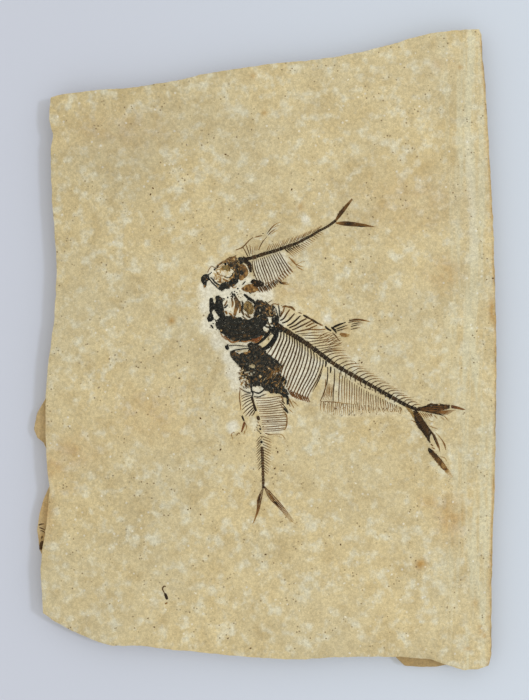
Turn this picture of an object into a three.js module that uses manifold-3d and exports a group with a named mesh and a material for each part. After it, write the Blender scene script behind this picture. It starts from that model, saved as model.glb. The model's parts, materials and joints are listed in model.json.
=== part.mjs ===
// A slab of laminated limestone with three flattened fish skeletons on its upper face.
//
// Millimetres. The slab lies flat: +Z is up, +Y runs towards its top edge as the slab is shown, and +X to its
// right. The origin is at the middle of the underside.

import * as THREE from 'three';
import { mergeVertices } from 'three/addons/utils/BufferGeometryUtils.js';
import Module from 'manifold-3d';

const wasm = await Module();
wasm.setup();

// Driving dimensions of the stone
const slabThickness = 8;
const edgeChip = 0.5; // how far the broken rim slopes in at the top
const edgeChipDepth = 0.8;
const bevelWidth = 8; // the worn right-hand edge falls away over this width
const bevelRunOut = 15; // and fades out over this distance from its corners
const beddingPlanes = [0, 2.6, 4.4, 6.2]; // heights where one layer of the stone ends and the next starts
const layerInsets = [1.5, 0.8, 1.2, 0]; // how far each layer is broken back from the outline
const layerWander = 0.4; // and how much that varies along the edge
const chipWander = 0.3; // how much the slope of the rim varies
const cornerPhase = 1.7; // radians of that variation from one corner of the outline to the next
const layerPhase = 2.3; // and from one layer to the next
const beddingGroove = 0.12; // half the height of the step between two layers

// Driving dimensions of the bones
const surface = slabThickness; // the bones lie on the upper face
const boneHeight = 0.35; // ribs, spines and rays
const backboneHeight = 0.8;
const slenderBackboneHeight = 0.6; // of the two small fish
const skullHeight = 0.55;
const raisedBoneHeight = 0.95; // gill covers, jaws and eyes, which stand above the rest of a skull
const ribWidth = 0.5;
const rayWidth = 0.45;
const tipShare = 0.5; // a bone's tip is this share of its width at the base

const stoneMaterial = new THREE.MeshStandardMaterial({ color: 0xcab891, roughness: 0.9, metalness: 0 });
const boneMaterial = new THREE.MeshStandardMaterial({ color: 0x4a3524, roughness: 0.55, metalness: 0 });

// Outline of the upper face, anticlockwise from the upper left corner
const leftEdge = [
  [-85.5, 101], [-86, 92.5], [-84.5, 85.5], [-85.5, 80], [-85, 60], [-84, 50], [-83, 32], [-83.5, 20],
  [-84.5, 8], [-86.5, -5], [-87.5, -19], [-87.5, -32], [-87, -45], [-86, -55.5], [-86.5, -63.5],
  [-87.5, -72], [-89, -81.5], [-89.5, -88], [-89, -99.5], [-88.5, -105.5],
];
const bottomEdge = [
  [-83.5, -109], [-77, -112.5], [-69, -116], [-61, -118.5], [-49.5, -118.5], [-37.5, -120], [-25.5, -121],
  [-13.5, -122.5], [-1, -123.5], [14.5, -124], [32.5, -123], [44.5, -123], [54.5, -123], [66.5, -124],
  [72.5, -126], [80, -128.3], [85.5, -128],
];
const rightEdge = [
  [90, -126.5], [91, -122], [91, -116], [91, -94], [91.5, -76], [92, -62], [92.5, -42], [92.9, -20],
  [92.9, 4], [92.5, 24], [92, 42], [91, 64], [89.5, 88], [88.5, 106], [87.5, 116.5], [87, 126],
];
const topEdge = [
  [86, 128.3], [81.5, 128], [74.5, 127.5], [66.5, 126.5], [58.5, 124.5], [50.5, 122], [38.5, 119],
  [27.5, 117], [14.5, 115.5], [0.5, 114], [-13, 112], [-25.5, 110], [-33.5, 108], [-45.5, 106],
  [-55.5, 104.5], [-64.5, 104], [-73.5, 103], [-81.5, 102],
];
const slabOutline = [...leftEdge, ...bottomEdge, ...rightEdge, ...topEdge];

// Ledges, where lower layers stick out past the upper ones. Each outline runs back under the slab.
const ledges = [
  {
    top: 4.6, // upper ledge of the left edge
    outline: [
      [-86.5, -17], [-89.5, -22], [-91.5, -25.5], [-92.5, -30], [-92.9, -32], [-91.5, -35.5], [-89, -37.5],
      [-86.5, -42.5], [-80, -40], [-80, -20],
    ],
  },
  {
    top: 5.2, // lower ledge of the left edge
    outline: [
      [-85.5, -53], [-88.5, -60], [-90, -66], [-91, -72.5], [-90, -76], [-89.5, -80], [-87.5, -84.5],
      [-80, -82], [-80, -55],
    ],
  },
  {
    top: 4.2, // ledge near the bottom right corner
    outline: [
      [50, -121], [53, -124], [56.5, -127.5], [62.5, -128], [69, -128], [74, -127], [78, -125.5],
      [77, -117], [51, -117],
    ],
  },
];

// A closed solid through rings of the same number of corners, each ring anticlockwise and above the last
function loft(rings) {
  const count = rings[0].length;
  const corners = rings.flat();
  const triangles = [];
  for (let level = 0; level + 1 < rings.length; level += 1) {
    for (let i = 0; i < count; i += 1) {
      const a = level * count + i;
      const b = level * count + ((i + 1) % count);
      triangles.push([a, b, b + count], [a, b + count, a + count]);
    }
  }
  const flat = (ring) => ring.map(([x, y]) => new THREE.Vector2(x, y));
  for (const [a, b, c] of THREE.ShapeUtils.triangulateShape(flat(rings[0]), [])) {
    triangles.push([c, b, a]);
  }
  const start = (rings.length - 1) * count;
  for (const [a, b, c] of THREE.ShapeUtils.triangulateShape(flat(rings.at(-1)), [])) {
    triangles.push([start + a, start + b, start + c]);
  }
  const geometry = new THREE.BufferGeometry();
  geometry.setAttribute('position', new THREE.Float32BufferAttribute(corners.flat(), 3));
  geometry.setIndex(triangles.flat());
  return geometry;
}

// The outline moved inwards at every corner, by an amount that may change from corner to corner
function insetOutline(outline, amountAt) {
  return outline.map(([x, y], i) => {
    const before = outline.at(i - 1);
    const after = outline[(i + 1) % outline.length];
    const along = new THREE.Vector2(after[0] - before[0], after[1] - before[1]).normalize();
    const amount = amountAt(i);
    return [x - along.y * amount, y + along.x * amount];
  });
}

const atHeight = (outline, z) => outline.map(([x, y]) => [x, y, z]);

function toManifold(geometry) {
  const bare = geometry.clone();
  bare.deleteAttribute('normal');
  bare.deleteAttribute('uv');
  const merged = mergeVertices(bare);
  return new wasm.Manifold(new wasm.Mesh({
    numProp: 3,
    vertProperties: new Float32Array(merged.attributes.position.array),
    triVerts: new Uint32Array(merged.index.array),
  }));
}

function join(geometries) {
  const solid = geometries.map(toManifold).reduce((whole, piece) => whole.add(piece));
  const { vertProperties, triVerts } = solid.getMesh();
  const geometry = new THREE.BufferGeometry();
  geometry.setAttribute('position', new THREE.Float32BufferAttribute(vertProperties, 3));
  geometry.setIndex(Array.from(triVerts));
  geometry.computeVertexNormals();
  return geometry;
}

// The stone: layers broken back by different amounts, so that the sides are ledged, and never out past the
// upper face. The right-hand edge of the upper face is worn into a gentle bevel.
function slabGeometry() {
  const wander = (corner, layer) => Math.sin(cornerPhase * corner + layerPhase * layer);
  const layerEdge = (layer) => insetOutline(
    slabOutline,
    (i) => (layerInsets[layer] === 0 ? 0 : layerInsets[layer] + layerWander * wander(i, layer)),
  );
  const rings = [];
  beddingPlanes.forEach((bottom, layer) => {
    const top = beddingPlanes[layer + 1] ?? slabThickness;
    const edge = layerEdge(layer);
    const isTopLayer = layer === beddingPlanes.length - 1;
    rings.push(atHeight(edge, layer === 0 ? 0 : bottom + beddingGroove));
    rings.push(atHeight(edge, isTopLayer ? slabThickness - edgeChipDepth : top - beddingGroove));
  });
  const lowest = Math.min(...slabOutline.map(([, y]) => y));
  const highest = Math.max(...slabOutline.map(([, y]) => y));
  const faceEdge = insetOutline(slabOutline, (i) => edgeChip + chipWander * wander(i, beddingPlanes.length));
  const wornEdge = faceEdge.map(([x, y], i) => {
    if (!rightEdge.includes(slabOutline[i])) {
      return [x, y];
    }
    const fromCorner = Math.min(y - lowest, highest - y) / bevelRunOut;
    return [x - bevelWidth * THREE.MathUtils.clamp(fromCorner, 0, 1), y];
  });
  rings.push(atHeight(wornEdge, slabThickness));
  const shelves = ledges.map(({ outline, top }) => loft([
    atHeight(outline, 0),
    atHeight(outline, top - edgeChipDepth),
    atHeight(insetOutline(outline, () => edgeChip), top),
  ]));
  return join([loft(rings), ...shelves]);
}

// A smooth line through points on the stone
const lineThrough = (points) => new THREE.SplineCurve(points.map(([x, y]) => new THREE.Vector2(x, y)));

// A ridge of triangular section along a line of points. widthAt gives its width from 0 at the start to 1 at
// the end, and the crest stays in proportion to the width.
function ridge(points, widthAt, height) {
  const widest = Math.max(...points.map((point, i) => widthAt(i / (points.length - 1))));
  const corners = [];
  const triangles = [];
  points.forEach((point, i) => {
    const before = points[Math.max(i - 1, 0)];
    const after = points[Math.min(i + 1, points.length - 1)];
    const side = new THREE.Vector2(before.y - after.y, after.x - before.x).normalize();
    const width = widthAt(i / (points.length - 1));
    const half = side.multiplyScalar(width / 2);
    corners.push([point.x + half.x, point.y + half.y, surface]);
    corners.push([point.x - half.x, point.y - half.y, surface]);
    corners.push([point.x, point.y, surface + (height * width) / widest]);
  });
  for (let i = 0; i + 1 < points.length; i += 1) {
    const [left, right, crest] = [3 * i, 3 * i + 1, 3 * i + 2];
    for (const [a, b] of [[right, left], [crest, right], [left, crest]]) {
      triangles.push([a, b, b + 3], [a, b + 3, a + 3]);
    }
  }
  const last = corners.length - 3;
  triangles.push([0, 1, 2], [last, last + 2, last + 1]);
  const geometry = new THREE.BufferGeometry();
  geometry.setAttribute('position', new THREE.Float32BufferAttribute(corners.flat(), 3));
  geometry.setIndex(triangles.flat());
  return geometry;
}

// One bone from its base to its tip, bowed sideways: positive bows to the left of its direction
function bone(base, tip, { bow = 0, width = ribWidth, height = boneHeight, steps = 2 } = {}) {
  const along = tip.clone().sub(base);
  const middle = base.clone().add(tip).multiplyScalar(0.5);
  middle.add(new THREE.Vector2(-along.y, along.x).normalize().multiplyScalar(2 * bow));
  const points = new THREE.QuadraticBezierCurve(base, middle, tip).getPoints(steps);
  return ridge(points, (t) => width * (1 - (1 - tipShare) * t), height);
}

// Bones side by side. Each point in bases goes with the point at its place in tips, and the bones in between
// are spread evenly.
function fan(bases, tips, count, shape) {
  const from = lineThrough(bases);
  const to = lineThrough(tips);
  return Array.from({ length: count }, (unused, i) => {
    const t = i / (count - 1);
    return bone(from.getPoint(t), to.getPoint(t), shape);
  });
}

// A curved bone or a row of scutes along a line, with the same width all the way
function bar(points, width, height = boneHeight) {
  return ridge(lineThrough(points).getSpacedPoints(points.length), () => width, height);
}

// A backbone too slight for its vertebrae to show from a step away: a ridge that thins towards the tail
function slenderBackbone(points, frontWidth, tailWidth) {
  const widthAt = (t) => frontWidth + (tailWidth - frontWidth) * t;
  return ridge(lineThrough(points).getSpacedPoints(points.length + 1), widthAt, slenderBackboneHeight);
}

// A backbone: one bead for each vertebra, waisted between them and thinner towards the tail
function backbone(points, vertebrae, frontWidth, tailWidth) {
  const waist = 0.72;
  const widthAt = (t) => {
    const width = frontWidth + (tailWidth - frontWidth) * t;
    return Math.round(t * 2 * vertebrae) % 2 === 0 ? width : width * waist;
  };
  return ridge(lineThrough(points).getSpacedPoints(2 * vertebrae), widthAt, backboneHeight);
}

// A flat bone plate with a sloping rim, from an anticlockwise outline
function plate(outline, height = skullHeight, slope = 0.4) {
  return loft([atHeight(outline, surface), atHeight(insetOutline(outline, () => slope), surface + height)]);
}

// A low round dome, such as an eye
function dome([x, y], radius, height = raisedBoneHeight) {
  const sides = 8;
  const crownShare = 0.55;
  const ring = (r, z) => Array.from({ length: sides }, (unused, i) => {
    const angle = (2 * Math.PI * i) / sides;
    return [x + r * Math.cos(angle), y + r * Math.sin(angle), z];
  });
  return loft([ring(radius, surface), ring(radius * crownShare, surface + height)]);
}

// Upper fish: small, its tail to the upper right
function upperFish() {
  const skull = [
    plate([
      [-25.4, 28.2], [-24.2, 25.4], [-20.6, 26], [-19, 24.2], [-15.4, 23.8], [-11.4, 24.8], [-8.8, 26.8],
      [-7, 29.6], [-6.6, 33], [-9.4, 35.4], [-10.6, 37.6], [-14.6, 36.2], [-18.6, 34], [-21, 32.6],
      [-22.8, 30.6],
    ]),
    dome([-16.2, 31.4], 2.6),
    plate([[-11.6, 33.6], [-11.4, 29], [-9.6, 27.6], [-7.8, 30.2], [-7.6, 33], [-9.4, 34.6]], raisedBoneHeight),
    bar([[-12.2, 35], [-12.4, 30.4], [-14.4, 26.6], [-18, 25.6]], 1.1, raisedBoneHeight),
    bar([[-24.4, 27.6], [-21.6, 29.8], [-19, 30]], 1, raisedBoneHeight),
  ];
  const spine = [
    [-5.6, 36.8], [-3.4, 37.4], [3, 39.2], [9.4, 41], [14.2, 42.8], [19, 45.2], [23.8, 48], [27.4, 50.8],
  ];
  const back = [[-8.8, 39.8], [-7, 42.4], [-4.6, 44.4], [-1.8, 45.2]];
  const belly = [[-4.4, 24.6], [-1.4, 23.4], [1.4, 23.4], [3.8, 24.6], [6.2, 26.6], [8.6, 28.6], [11.2, 31]];
  const skeleton = [
    slenderBackbone(spine, 1.1, 0.6),
    ...fan(
      [[-4.6, 36.8], [-1.4, 37.6], [2.6, 38.8], [7, 40.2]],
      [[-3.6, 24.3], [0.6, 23.4], [5.2, 25.8], [11.2, 31]],
      14,
      { bow: 0.5 },
    ),
    bar(belly, 0.7),
    ...fan([[-5.2, 37], [-3.6, 37.5], [-1, 38.2]], [[-8.6, 40], [-6.2, 42.9], [-2.4, 45]], 6, {
      width: rayWidth,
      steps: 1,
    }),
    bar(back, 0.6),
    ...fan([[8.6, 41], [14.2, 43], [20, 46]], [[10.4, 43.6], [16, 45.4], [21, 47.4]], 8, { steps: 1 }),
    ...fan([[8.6, 40.6], [14.2, 42.6], [20, 45.6]], [[12.4, 37.8], [16.8, 40.6], [21.2, 44]], 8, { steps: 1 }),
  ];
  const dorsalRoot = [1, 46.2];
  const dorsalFin = [
    bar([dorsalRoot, [2.2, 47.8], [3.6, 49.2], [5.2, 50.3], [7.4, 51.2]], 0.8),
    bar([dorsalRoot, [2.4, 46.8], [4.6, 48.2]], 0.6),
    bar([dorsalRoot, [-0.4, 46.6], [-2, 46.4]], 0.5),
    bar([dorsalRoot, [2.6, 46.1], [5, 46.8]], 0.5),
  ];
  const analFin = [
    bar([[10.4, 36], [11.6, 34.8], [13, 33.4]], 0.6),
    ...fan([[11, 35.4], [12.6, 33.8]], [[13.8, 36.2], [15, 34]], 4, { width: rayWidth, steps: 1 }),
  ];
  const tailRoot = new THREE.Vector2(28.2, 51.3);
  const tailFin = [
    dome([28.4, 51.3], 0.7, 0.5),
    ...fan([[28.2, 51.3], [28.4, 51.3]], [[34.6, 60.4], [35.4, 59.6]], 3, { width: 0.9, bow: 0.4 }),
    ...fan([[28.2, 51.2], [28.4, 51.2]], [[42.4, 49.6], [43.6, 48.4]], 3, { width: 0.9, bow: -0.4 }),
    bone(tailRoot, new THREE.Vector2(32.4, 52), { width: 0.7 }),
  ];
  return { skull, backbone_and_ribs: skeleton, dorsal_fin: dorsalFin, anal_fin: analFin, tail_fin: tailFin };
}

// Large fish: in the middle, its tail to the lower right
function largeFish() {
  const jaws = [
    plate([
      [-22.4, 16.8], [-22, 13.6], [-19.8, 14.4], [-17.4, 14.2], [-16.6, 17.6], [-17.2, 20.4], [-21.4, 20],
    ]),
    plate([[-22.6, 13.8], [-22.4, 10.8], [-20.8, 9.6], [-19.6, 11], [-20.2, 14.6]], raisedBoneHeight),
    bar([[-21.4, 19.2], [-19.6, 17.4], [-18, 15]], 1.2, raisedBoneHeight),
  ];
  const skull = [
    plate([
      [-18.6, 11.8], [-18.8, 8.4], [-15.8, 4.8], [-12.6, 3.2], [-7.4, 3.2], [-3.8, 4.4], [-2, 6], [-0.4, 9.6],
      [-1.2, 14], [-2.2, 17.4], [-4.4, 20], [-8, 22.6], [-9.4, 21.8], [-9.6, 17], [-10.6, 12.8], [-13, 13.4],
      [-16.2, 13.4],
    ]),
    dome([-6.8, 17], 2.5),
    plate([[-12.8, 10.6], [-12.2, 5.4], [-7, 4.6], [-4, 7.4], [-4.2, 11], [-8, 12]], raisedBoneHeight),
    bar([[-17.8, 9.6], [-14.2, 6.6], [-9, 4.2], [-4.6, 5.4]], 1.3, raisedBoneHeight),
    bar([[-8.4, 22], [-5.6, 20.6], [-2.6, 18.2]], 1.1, raisedBoneHeight),
  ];
  const nape = [
    plate([[-1.2, 18.8], [-0.2, 15], [1.6, 12.4], [3, 13.6], [4.4, 15.4], [2.4, 17], [0, 19]]),
    bar([[-0.6, 18.2], [1.4, 16], [2, 13.4]], 1, raisedBoneHeight),
  ];
  const shoulder = [
    bar([[1.2, 10.8], [1.5, 8], [1, 5.4], [-0.4, 3.4], [-3.2, 1.6]], 1.3, raisedBoneHeight),
    bar([[3.4, 11.6], [4, 9.4], [4, 6.8], [2.9, 4], [1.2, 1.7], [-0.6, 0.5], [-3, 0.5]], 1.6, raisedBoneHeight),
  ];
  const spine = [
    [5.9, 9.2], [10.2, 6.6], [15.4, 3.4], [21, -0.2], [25.4, -4], [31, -7.8], [37.4, -11.6], [43.8, -15.2],
    [50.2, -18.6], [56.6, -22.2], [59, -23.4],
  ];
  const back = [
    [6.6, 17.2], [10.2, 17.2], [13.4, 15.2], [17, 13], [21.4, 10.4], [25.6, 7.8],
  ];
  const bellyScutes = [[10.9, -20.4], [13, -20.8], [15.6, -21], [18.8, -21.2]];
  const skeleton = [
    backbone(spine, 36, 1.9, 1.1),
    ...fan(
      [
        [6.6, 8.6], [9.3, 6.8], [11.4, 5.4], [13.6, 3.8], [16, 2.4], [18.4, 1], [21.1, -1], [23.7, -3.2],
      ],
      [
        [4.2, -1.4], [6, -4.2], [9.2, -7.4], [9.7, -12.2], [10.4, -17], [12.8, -20.6], [15.6, -20.9],
        [18.4, -21.2],
      ],
      19,
      { bow: 1 },
    ),
    bar(bellyScutes, 1),
    ...fan(
      [[6.3, 9.2], [7.4, 8.6], [8.8, 7.8], [10.6, 6.8], [12.4, 5.6], [14.4, 4.4]],
      [[6.9, 17.1], [10.3, 16.9], [14.6, 14.4], [19, 11.9], [22.2, 9.9], [25.3, 8]],
      10,
      { width: rayWidth, steps: 1 },
    ),
    bar(back, 0.8),
    ...fan([[14.6, 4.4], [21.4, 0]], [[25.4, 5.6], [29.4, 1.4]], 6, { width: rayWidth, steps: 1 }),
    ...fan(
      [[22.6, -1.4], [30.2, -6.8], [37.4, -11], [44.6, -15.2], [51.8, -19], [56.4, -21.8]],
      [[31.6, -0.4], [38.2, -4.8], [43.6, -8.8], [49.4, -13.4], [54.6, -17.2], [59, -20.8]],
      16,
      { steps: 1 },
    ),
  ];
  const dorsalRoot = [27.3, 8.7];
  const dorsalFin = [
    bar([dorsalRoot, [29, 9.8], [32.2, 11], [36.2, 12], [38.6, 12], [41.4, 11.2]], 1),
    ...fan([[27.4, 8.5], [30.6, 5.4]], [[38.4, 10.6], [36.6, 6.2]], 7, { width: rayWidth, steps: 1 }),
    bar([dorsalRoot, [28.6, 7.4], [31, 5]], 0.8),
  ];
  const analFin = [
    bar([[22.2, -20.6], [30.2, -21.4], [38.2, -22.2], [46.2, -23], [54.2, -24.2]], 0.5),
    ...fan(
      [[22.6, -20.5], [30.2, -21.3], [38.2, -22.1], [46.2, -22.9], [53.4, -23.9]],
      [[26.4, -9.4], [32.6, -11], [39.4, -14.6], [47.2, -18.8], [54.4, -22.6]],
      17,
      { width: rayWidth, steps: 1 },
    ),
    ...fan(
      [[22.4, -20.7], [30.4, -21.5], [38.4, -22.3], [46.4, -23.1], [54, -24.2]],
      [[22.4, -25.4], [30.2, -25.9], [38.2, -25.9], [46.2, -25.6], [53.4, -25.6]],
      20,
      { width: rayWidth, steps: 1 },
    ),
  ];
  const upperTailLobe = [
    ...fan(
      [[59.9, -23.9], [59.8, -24.6]],
      [[80.2, -23.7], [78.2, -26]],
      4,
      { width: 0.9, bow: 0.9, steps: 3 },
    ),
    bar([[60, -24], [62.4, -23.2], [66, -22.4], [70, -22.6], [74.6, -22.9]], 1.2),
  ];
  const lowerTailLobe = [
    ...fan([[59.9, -26], [60.3, -26.2]], [[65.4, -37.4], [70.2, -40]], 5, { width: 0.9, bow: 0.3 }),
    bar([[59.7, -25.7], [61.4, -28.4], [63.6, -32], [66.6, -36.6]], 1.5),
  ];
  const tailTip = [
    bar([[65.8, -39.6], [67, -41.8], [69.4, -44.4], [72.2, -47.4], [75, -50.8]], 1.2),
    ...fan([[66.2, -40.4], [70.4, -45.4]], [[70.4, -43], [74.6, -48.6]], 4, { width: 0.8 }),
  ];
  return {
    jaws,
    skull,
    nape_bones: nape,
    shoulder_bones: shoulder,
    backbone_and_ribs: skeleton,
    dorsal_fin: dorsalFin,
    anal_fin: analFin,
    upper_tail_lobe: upperTailLobe,
    lower_tail_lobe: lowerTailLobe,
    tail_tip: tailTip,
  };
}

// Lower fish: small, its tail down, its head over the belly of the large fish
function lowerFish() {
  const skull = [
    plate([
      [-15, 1.6], [-14.2, -0.6], [-13, -3.8], [-10.6, -6.6], [-9, -10.6], [-6.8, -13.8], [-3.4, -15.2],
      [1.2, -16.8], [4.6, -17.8], [8.2, -17.4], [8.5, -14.6], [7.8, -11.4], [8.2, -8.8], [6.6, -7],
      [3.8, -5.2], [1.6, -3.6], [-1.6, -2], [-5.2, -1.4], [-8.4, -0.4], [-11.4, 1.4],
    ]),
    bar([[-14, 0.6], [-10, -1], [-5, -2.4], [-0.6, -3.4]], 1.2, raisedBoneHeight),
    dome([-4.8, -7.4], 2.1),
    plate([[-1, -13.4], [3.6, -15.4], [5.4, -12], [4.2, -7.4], [1.6, -5.4], [-1.6, -8.8]], raisedBoneHeight),
    bar([[-6.4, -13.2], [-5.2, -15.8], [-4.2, -17.8], [-2.4, -18.3], [-0.8, -17.2], [0.2, -15.6]], 0.7),
  ];
  const spine = [
    [-5.8, -18.4], [-4.6, -21], [-3, -24.6], [-2.2, -28.2], [-1.4, -33], [-0.8, -38.6], [-0.6, -46.2],
    [-0.4, -54.6],
  ];
  const belly = [[8.9, -19.6], [9.5, -22.4], [9.6, -25.8], [8.8, -29.8], [7.4, -33.6]];
  const back = [[-9.6, -16.6], [-9.8, -18.6], [-9.6, -21.8], [-8.6, -24.6]];
  const skeleton = [
    slenderBackbone(spine, 1.1, 0.7),
    ...fan([[-5, -20], [-3.4, -23.6], [-2.4, -27.4], [-1.9, -30.6], [-1.4, -34]], belly, 12, { bow: 0.7 }),
    bar(belly, 0.7),
    ...fan([[-5.6, -18.8], [-5, -20.4], [-4.2, -22.2], [-3.4, -24]], back, 7, {
      width: rayWidth,
      steps: 1,
    }),
    bar(back, 0.6),
    ...fan([[-1.2, -34.4], [-0.7, -41], [-0.6, -47]], [[-3.6, -37.4], [-2.8, -43.6], [-1.8, -49]], 9, {
      steps: 1,
    }),
    ...fan([[-1.2, -34.4], [-0.7, -41], [-0.6, -48]], [[2.4, -37.4], [1.8, -43.6], [0.8, -50.2]], 9, {
      steps: 1,
    }),
  ];
  const dorsalFin = [
    bar([[-8.4, -26], [-8, -28.2], [-8.2, -30], [-9.2, -32.8]], 0.7),
    ...fan([[-8.2, -27], [-8, -29.4]], [[-6.8, -31.4], [-7.4, -32.8]], 3, { width: rayWidth }),
  ];
  const tailFin = [
    dome([-0.3, -55.8], 0.7, 0.5),
    ...fan([[-0.5, -55.8], [-0.3, -55.8]], [[-4.6, -69.2], [-3.2, -68.4]], 3, {
      width: 0.9,
      bow: -0.5,
    }),
    ...fan([[-0.3, -55.8], [-0.1, -55.8]], [[9.6, -69.2], [11.2, -68.4]], 3, { width: 0.9, bow: 0.6 }),
  ];
  return { skull, backbone_and_ribs: skeleton, dorsal_fin: dorsalFin, tail_fin: tailFin };
}

const fossil = new THREE.Group();

function addPiece(name, geometry, material) {
  const mesh = new THREE.Mesh(geometry, material);
  mesh.name = name;
  fossil.add(mesh);
}

addPiece('limestone_slab', slabGeometry(), stoneMaterial);
for (const [fish, bones] of Object.entries({
  upper_fish: upperFish(),
  large_fish: largeFish(),
  lower_fish: lowerFish(),
})) {
  for (const [group, pieces] of Object.entries(bones)) {
    addPiece(`${fish}_${group}`, join(pieces), boneMaterial);
  }
}

export default fossil;
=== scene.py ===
# %% [markdown]
# # A split slab of limestone with three fossil fish
#
# Lake limestone of this kind splits along its bedding into thin plates. On this one three herring-like fish
# lie with their heads together, pressed flat and turned to black and brown bone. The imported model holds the
# plain solids of the slab and of each group of bones. This script keeps their places and sizes, and makes the
# surfaces that a hand or an eye would meet: the broken stone, the crushed skulls, and every rib and fin ray.

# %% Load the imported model
import json
import math

import bpy
import numpy as np
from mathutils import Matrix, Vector, noise


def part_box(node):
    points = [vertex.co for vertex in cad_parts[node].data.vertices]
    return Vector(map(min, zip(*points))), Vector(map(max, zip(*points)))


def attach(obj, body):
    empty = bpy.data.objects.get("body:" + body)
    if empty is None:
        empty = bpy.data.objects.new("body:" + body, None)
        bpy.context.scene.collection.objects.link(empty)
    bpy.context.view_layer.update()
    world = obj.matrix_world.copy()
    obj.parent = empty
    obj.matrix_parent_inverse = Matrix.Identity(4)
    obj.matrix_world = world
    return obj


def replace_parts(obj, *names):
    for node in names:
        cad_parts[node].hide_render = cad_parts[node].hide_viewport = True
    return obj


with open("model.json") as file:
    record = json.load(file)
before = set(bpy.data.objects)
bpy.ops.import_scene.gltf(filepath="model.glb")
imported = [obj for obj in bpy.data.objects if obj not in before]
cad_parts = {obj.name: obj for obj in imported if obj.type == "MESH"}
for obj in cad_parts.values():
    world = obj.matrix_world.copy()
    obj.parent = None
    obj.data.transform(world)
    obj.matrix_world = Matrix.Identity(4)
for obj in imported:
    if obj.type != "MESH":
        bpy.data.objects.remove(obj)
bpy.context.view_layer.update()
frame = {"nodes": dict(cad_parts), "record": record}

MM = 0.001
BODY = "root"

slab_low, slab_high = (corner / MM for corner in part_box("limestone_slab"))
THICKNESS = slab_high.z
slot_of_node = {part["node"]: part["material_slot"] for part in frame["record"]["subparts"]}
print("slab", [round(v, 1) for v in slab_high - slab_low], "mm,", len(frame["nodes"]), "nodes")

# %% [markdown]
# ## Hand tools
#
# An operator works on everything that is selected, so each step first selects just what it means to change.
# Vertices are moved in bulk as one array of millimetres, which is quick and easy to read. Lists of points in
# this script are places on the slab's face in millimetres: X to the right, Y towards the top edge. Two
# helpers tell whether a place lies inside an outline, and how far it is from the outline's edge.

# %% Select, read and move
def select_only(*things):
    """Leaves only these objects selected, the first of them active."""
    if bpy.context.object and bpy.context.object.mode != "OBJECT":
        bpy.ops.object.mode_set(mode="OBJECT")
    bpy.ops.object.select_all(action="DESELECT")
    for thing in things:
        thing.select_set(True)
    bpy.context.view_layer.objects.active = things[0]


def points_of(thing):
    """The mesh's vertices as an array of millimetres."""
    flat = np.empty(len(thing.data.vertices) * 3)
    thing.data.vertices.foreach_get("co", flat)
    return flat.reshape(-1, 3) / MM


def move_points(thing, points):
    """Puts the mesh's vertices at these places, given in millimetres."""
    thing.data.vertices.foreach_set("co", (np.asarray(points) * MM).ravel())
    thing.data.update()


def give_attribute(thing, name, values):
    """Writes one number for each vertex, which a material can read by its name."""
    attribute = thing.data.attributes.get(name) or thing.data.attributes.new(name, "FLOAT", "POINT")
    attribute.data.foreach_set("value", np.asarray(values, float))


def smooth_step(low, high, values):
    """0 at low, 1 at high and an easy curve between, for numbers or arrays."""
    share = np.clip((np.asarray(values, float) - low) / (high - low), 0, 1)
    return share * share * (3 - 2 * share)


def through(line, shares):
    """Points on a smooth line through the given ones: share 0 is the first point and 1 is the last."""
    line = np.array(line, float)
    if len(line) == 2:
        line = np.array([line[0], line.mean(0), line[1]])
    padded = np.vstack([2 * line[0] - line[1], line, 2 * line[-1] - line[-2]])
    place = np.clip(np.asarray(shares, float), 0, 1) * (len(line) - 1)
    first = np.minimum(place.astype(int), len(line) - 2)
    t = (place - first)[..., None]
    a, b, c, d = (padded[first + i] for i in range(4))
    return 0.5 * (2 * b + (c - a) * t + (2 * a - 5 * b + 4 * c - d) * t**2 + (3 * b - a - 3 * c + d) * t**3)


def inside(outline, spots):
    """Which places lie inside a closed outline."""
    result = np.zeros(len(spots), bool)
    x, y = spots[:, 0], spots[:, 1]
    for (ax, ay), (bx, by) in zip(outline, np.roll(outline, -1, axis=0)):
        crosses = (ay > y) != (by > y)
        meets = (bx - ax) * (y - ay) / (by - ay if by != ay else 1e-9) + ax
        result ^= crosses & (x < meets)
    return result


def edge_distance(outline, spots):
    """How far each place is from the nearest side of a closed outline."""
    nearest = np.full(len(spots), 1e9)
    for a, b in zip(np.array(outline, float), np.roll(np.array(outline, float), -1, axis=0)):
        way = b - a
        share = np.clip(((spots - a) @ way) / max(way @ way, 1e-9), 0, 1)
        nearest = np.minimum(nearest, np.hypot(*(spots - a - share[:, None] * way).T))
    return nearest


# %% [markdown]
# ## Camera, light and table
#
# The slab was photographed from straight above, so the camera looks straight down at its upper face. A broad
# lamp on the right throws the soft, narrow shadow along the left side. Everything else is pale light from all
# round, which fills the shadow to about four fifths of the table's light. The plain view transform keeps each
# colour as it is mixed.

# %% Place the camera and the light
SEEN_HEIGHT = 280 * MM
SENSOR = 36.0
LENS = 75.0
NEAREST_SEEN = 0.01
CAMERA_AT = (0.1 * MM, -0.2 * MM)
LAMP_ELEVATION = 51
LAMP_BEARING = 3
LAMP_SPREAD = 8.0
LAMP_STRENGTH = 0.52
LAMP_COLOUR = (0.9, 1.0, 1.2)
SKY_COLOUR = (1.0, 0.99, 0.965)
SKY_STRENGTH = 0.895

camera_height = THICKNESS * MM + SEEN_HEIGHT * LENS / SENSOR
bpy.ops.object.camera_add(location=(*CAMERA_AT, camera_height), rotation=(0, 0, 0))
camera = bpy.context.object
camera.data.lens = LENS
camera.data.sensor_width = SENSOR
camera.data.clip_start = NEAREST_SEEN
bpy.context.scene.camera = camera

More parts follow.
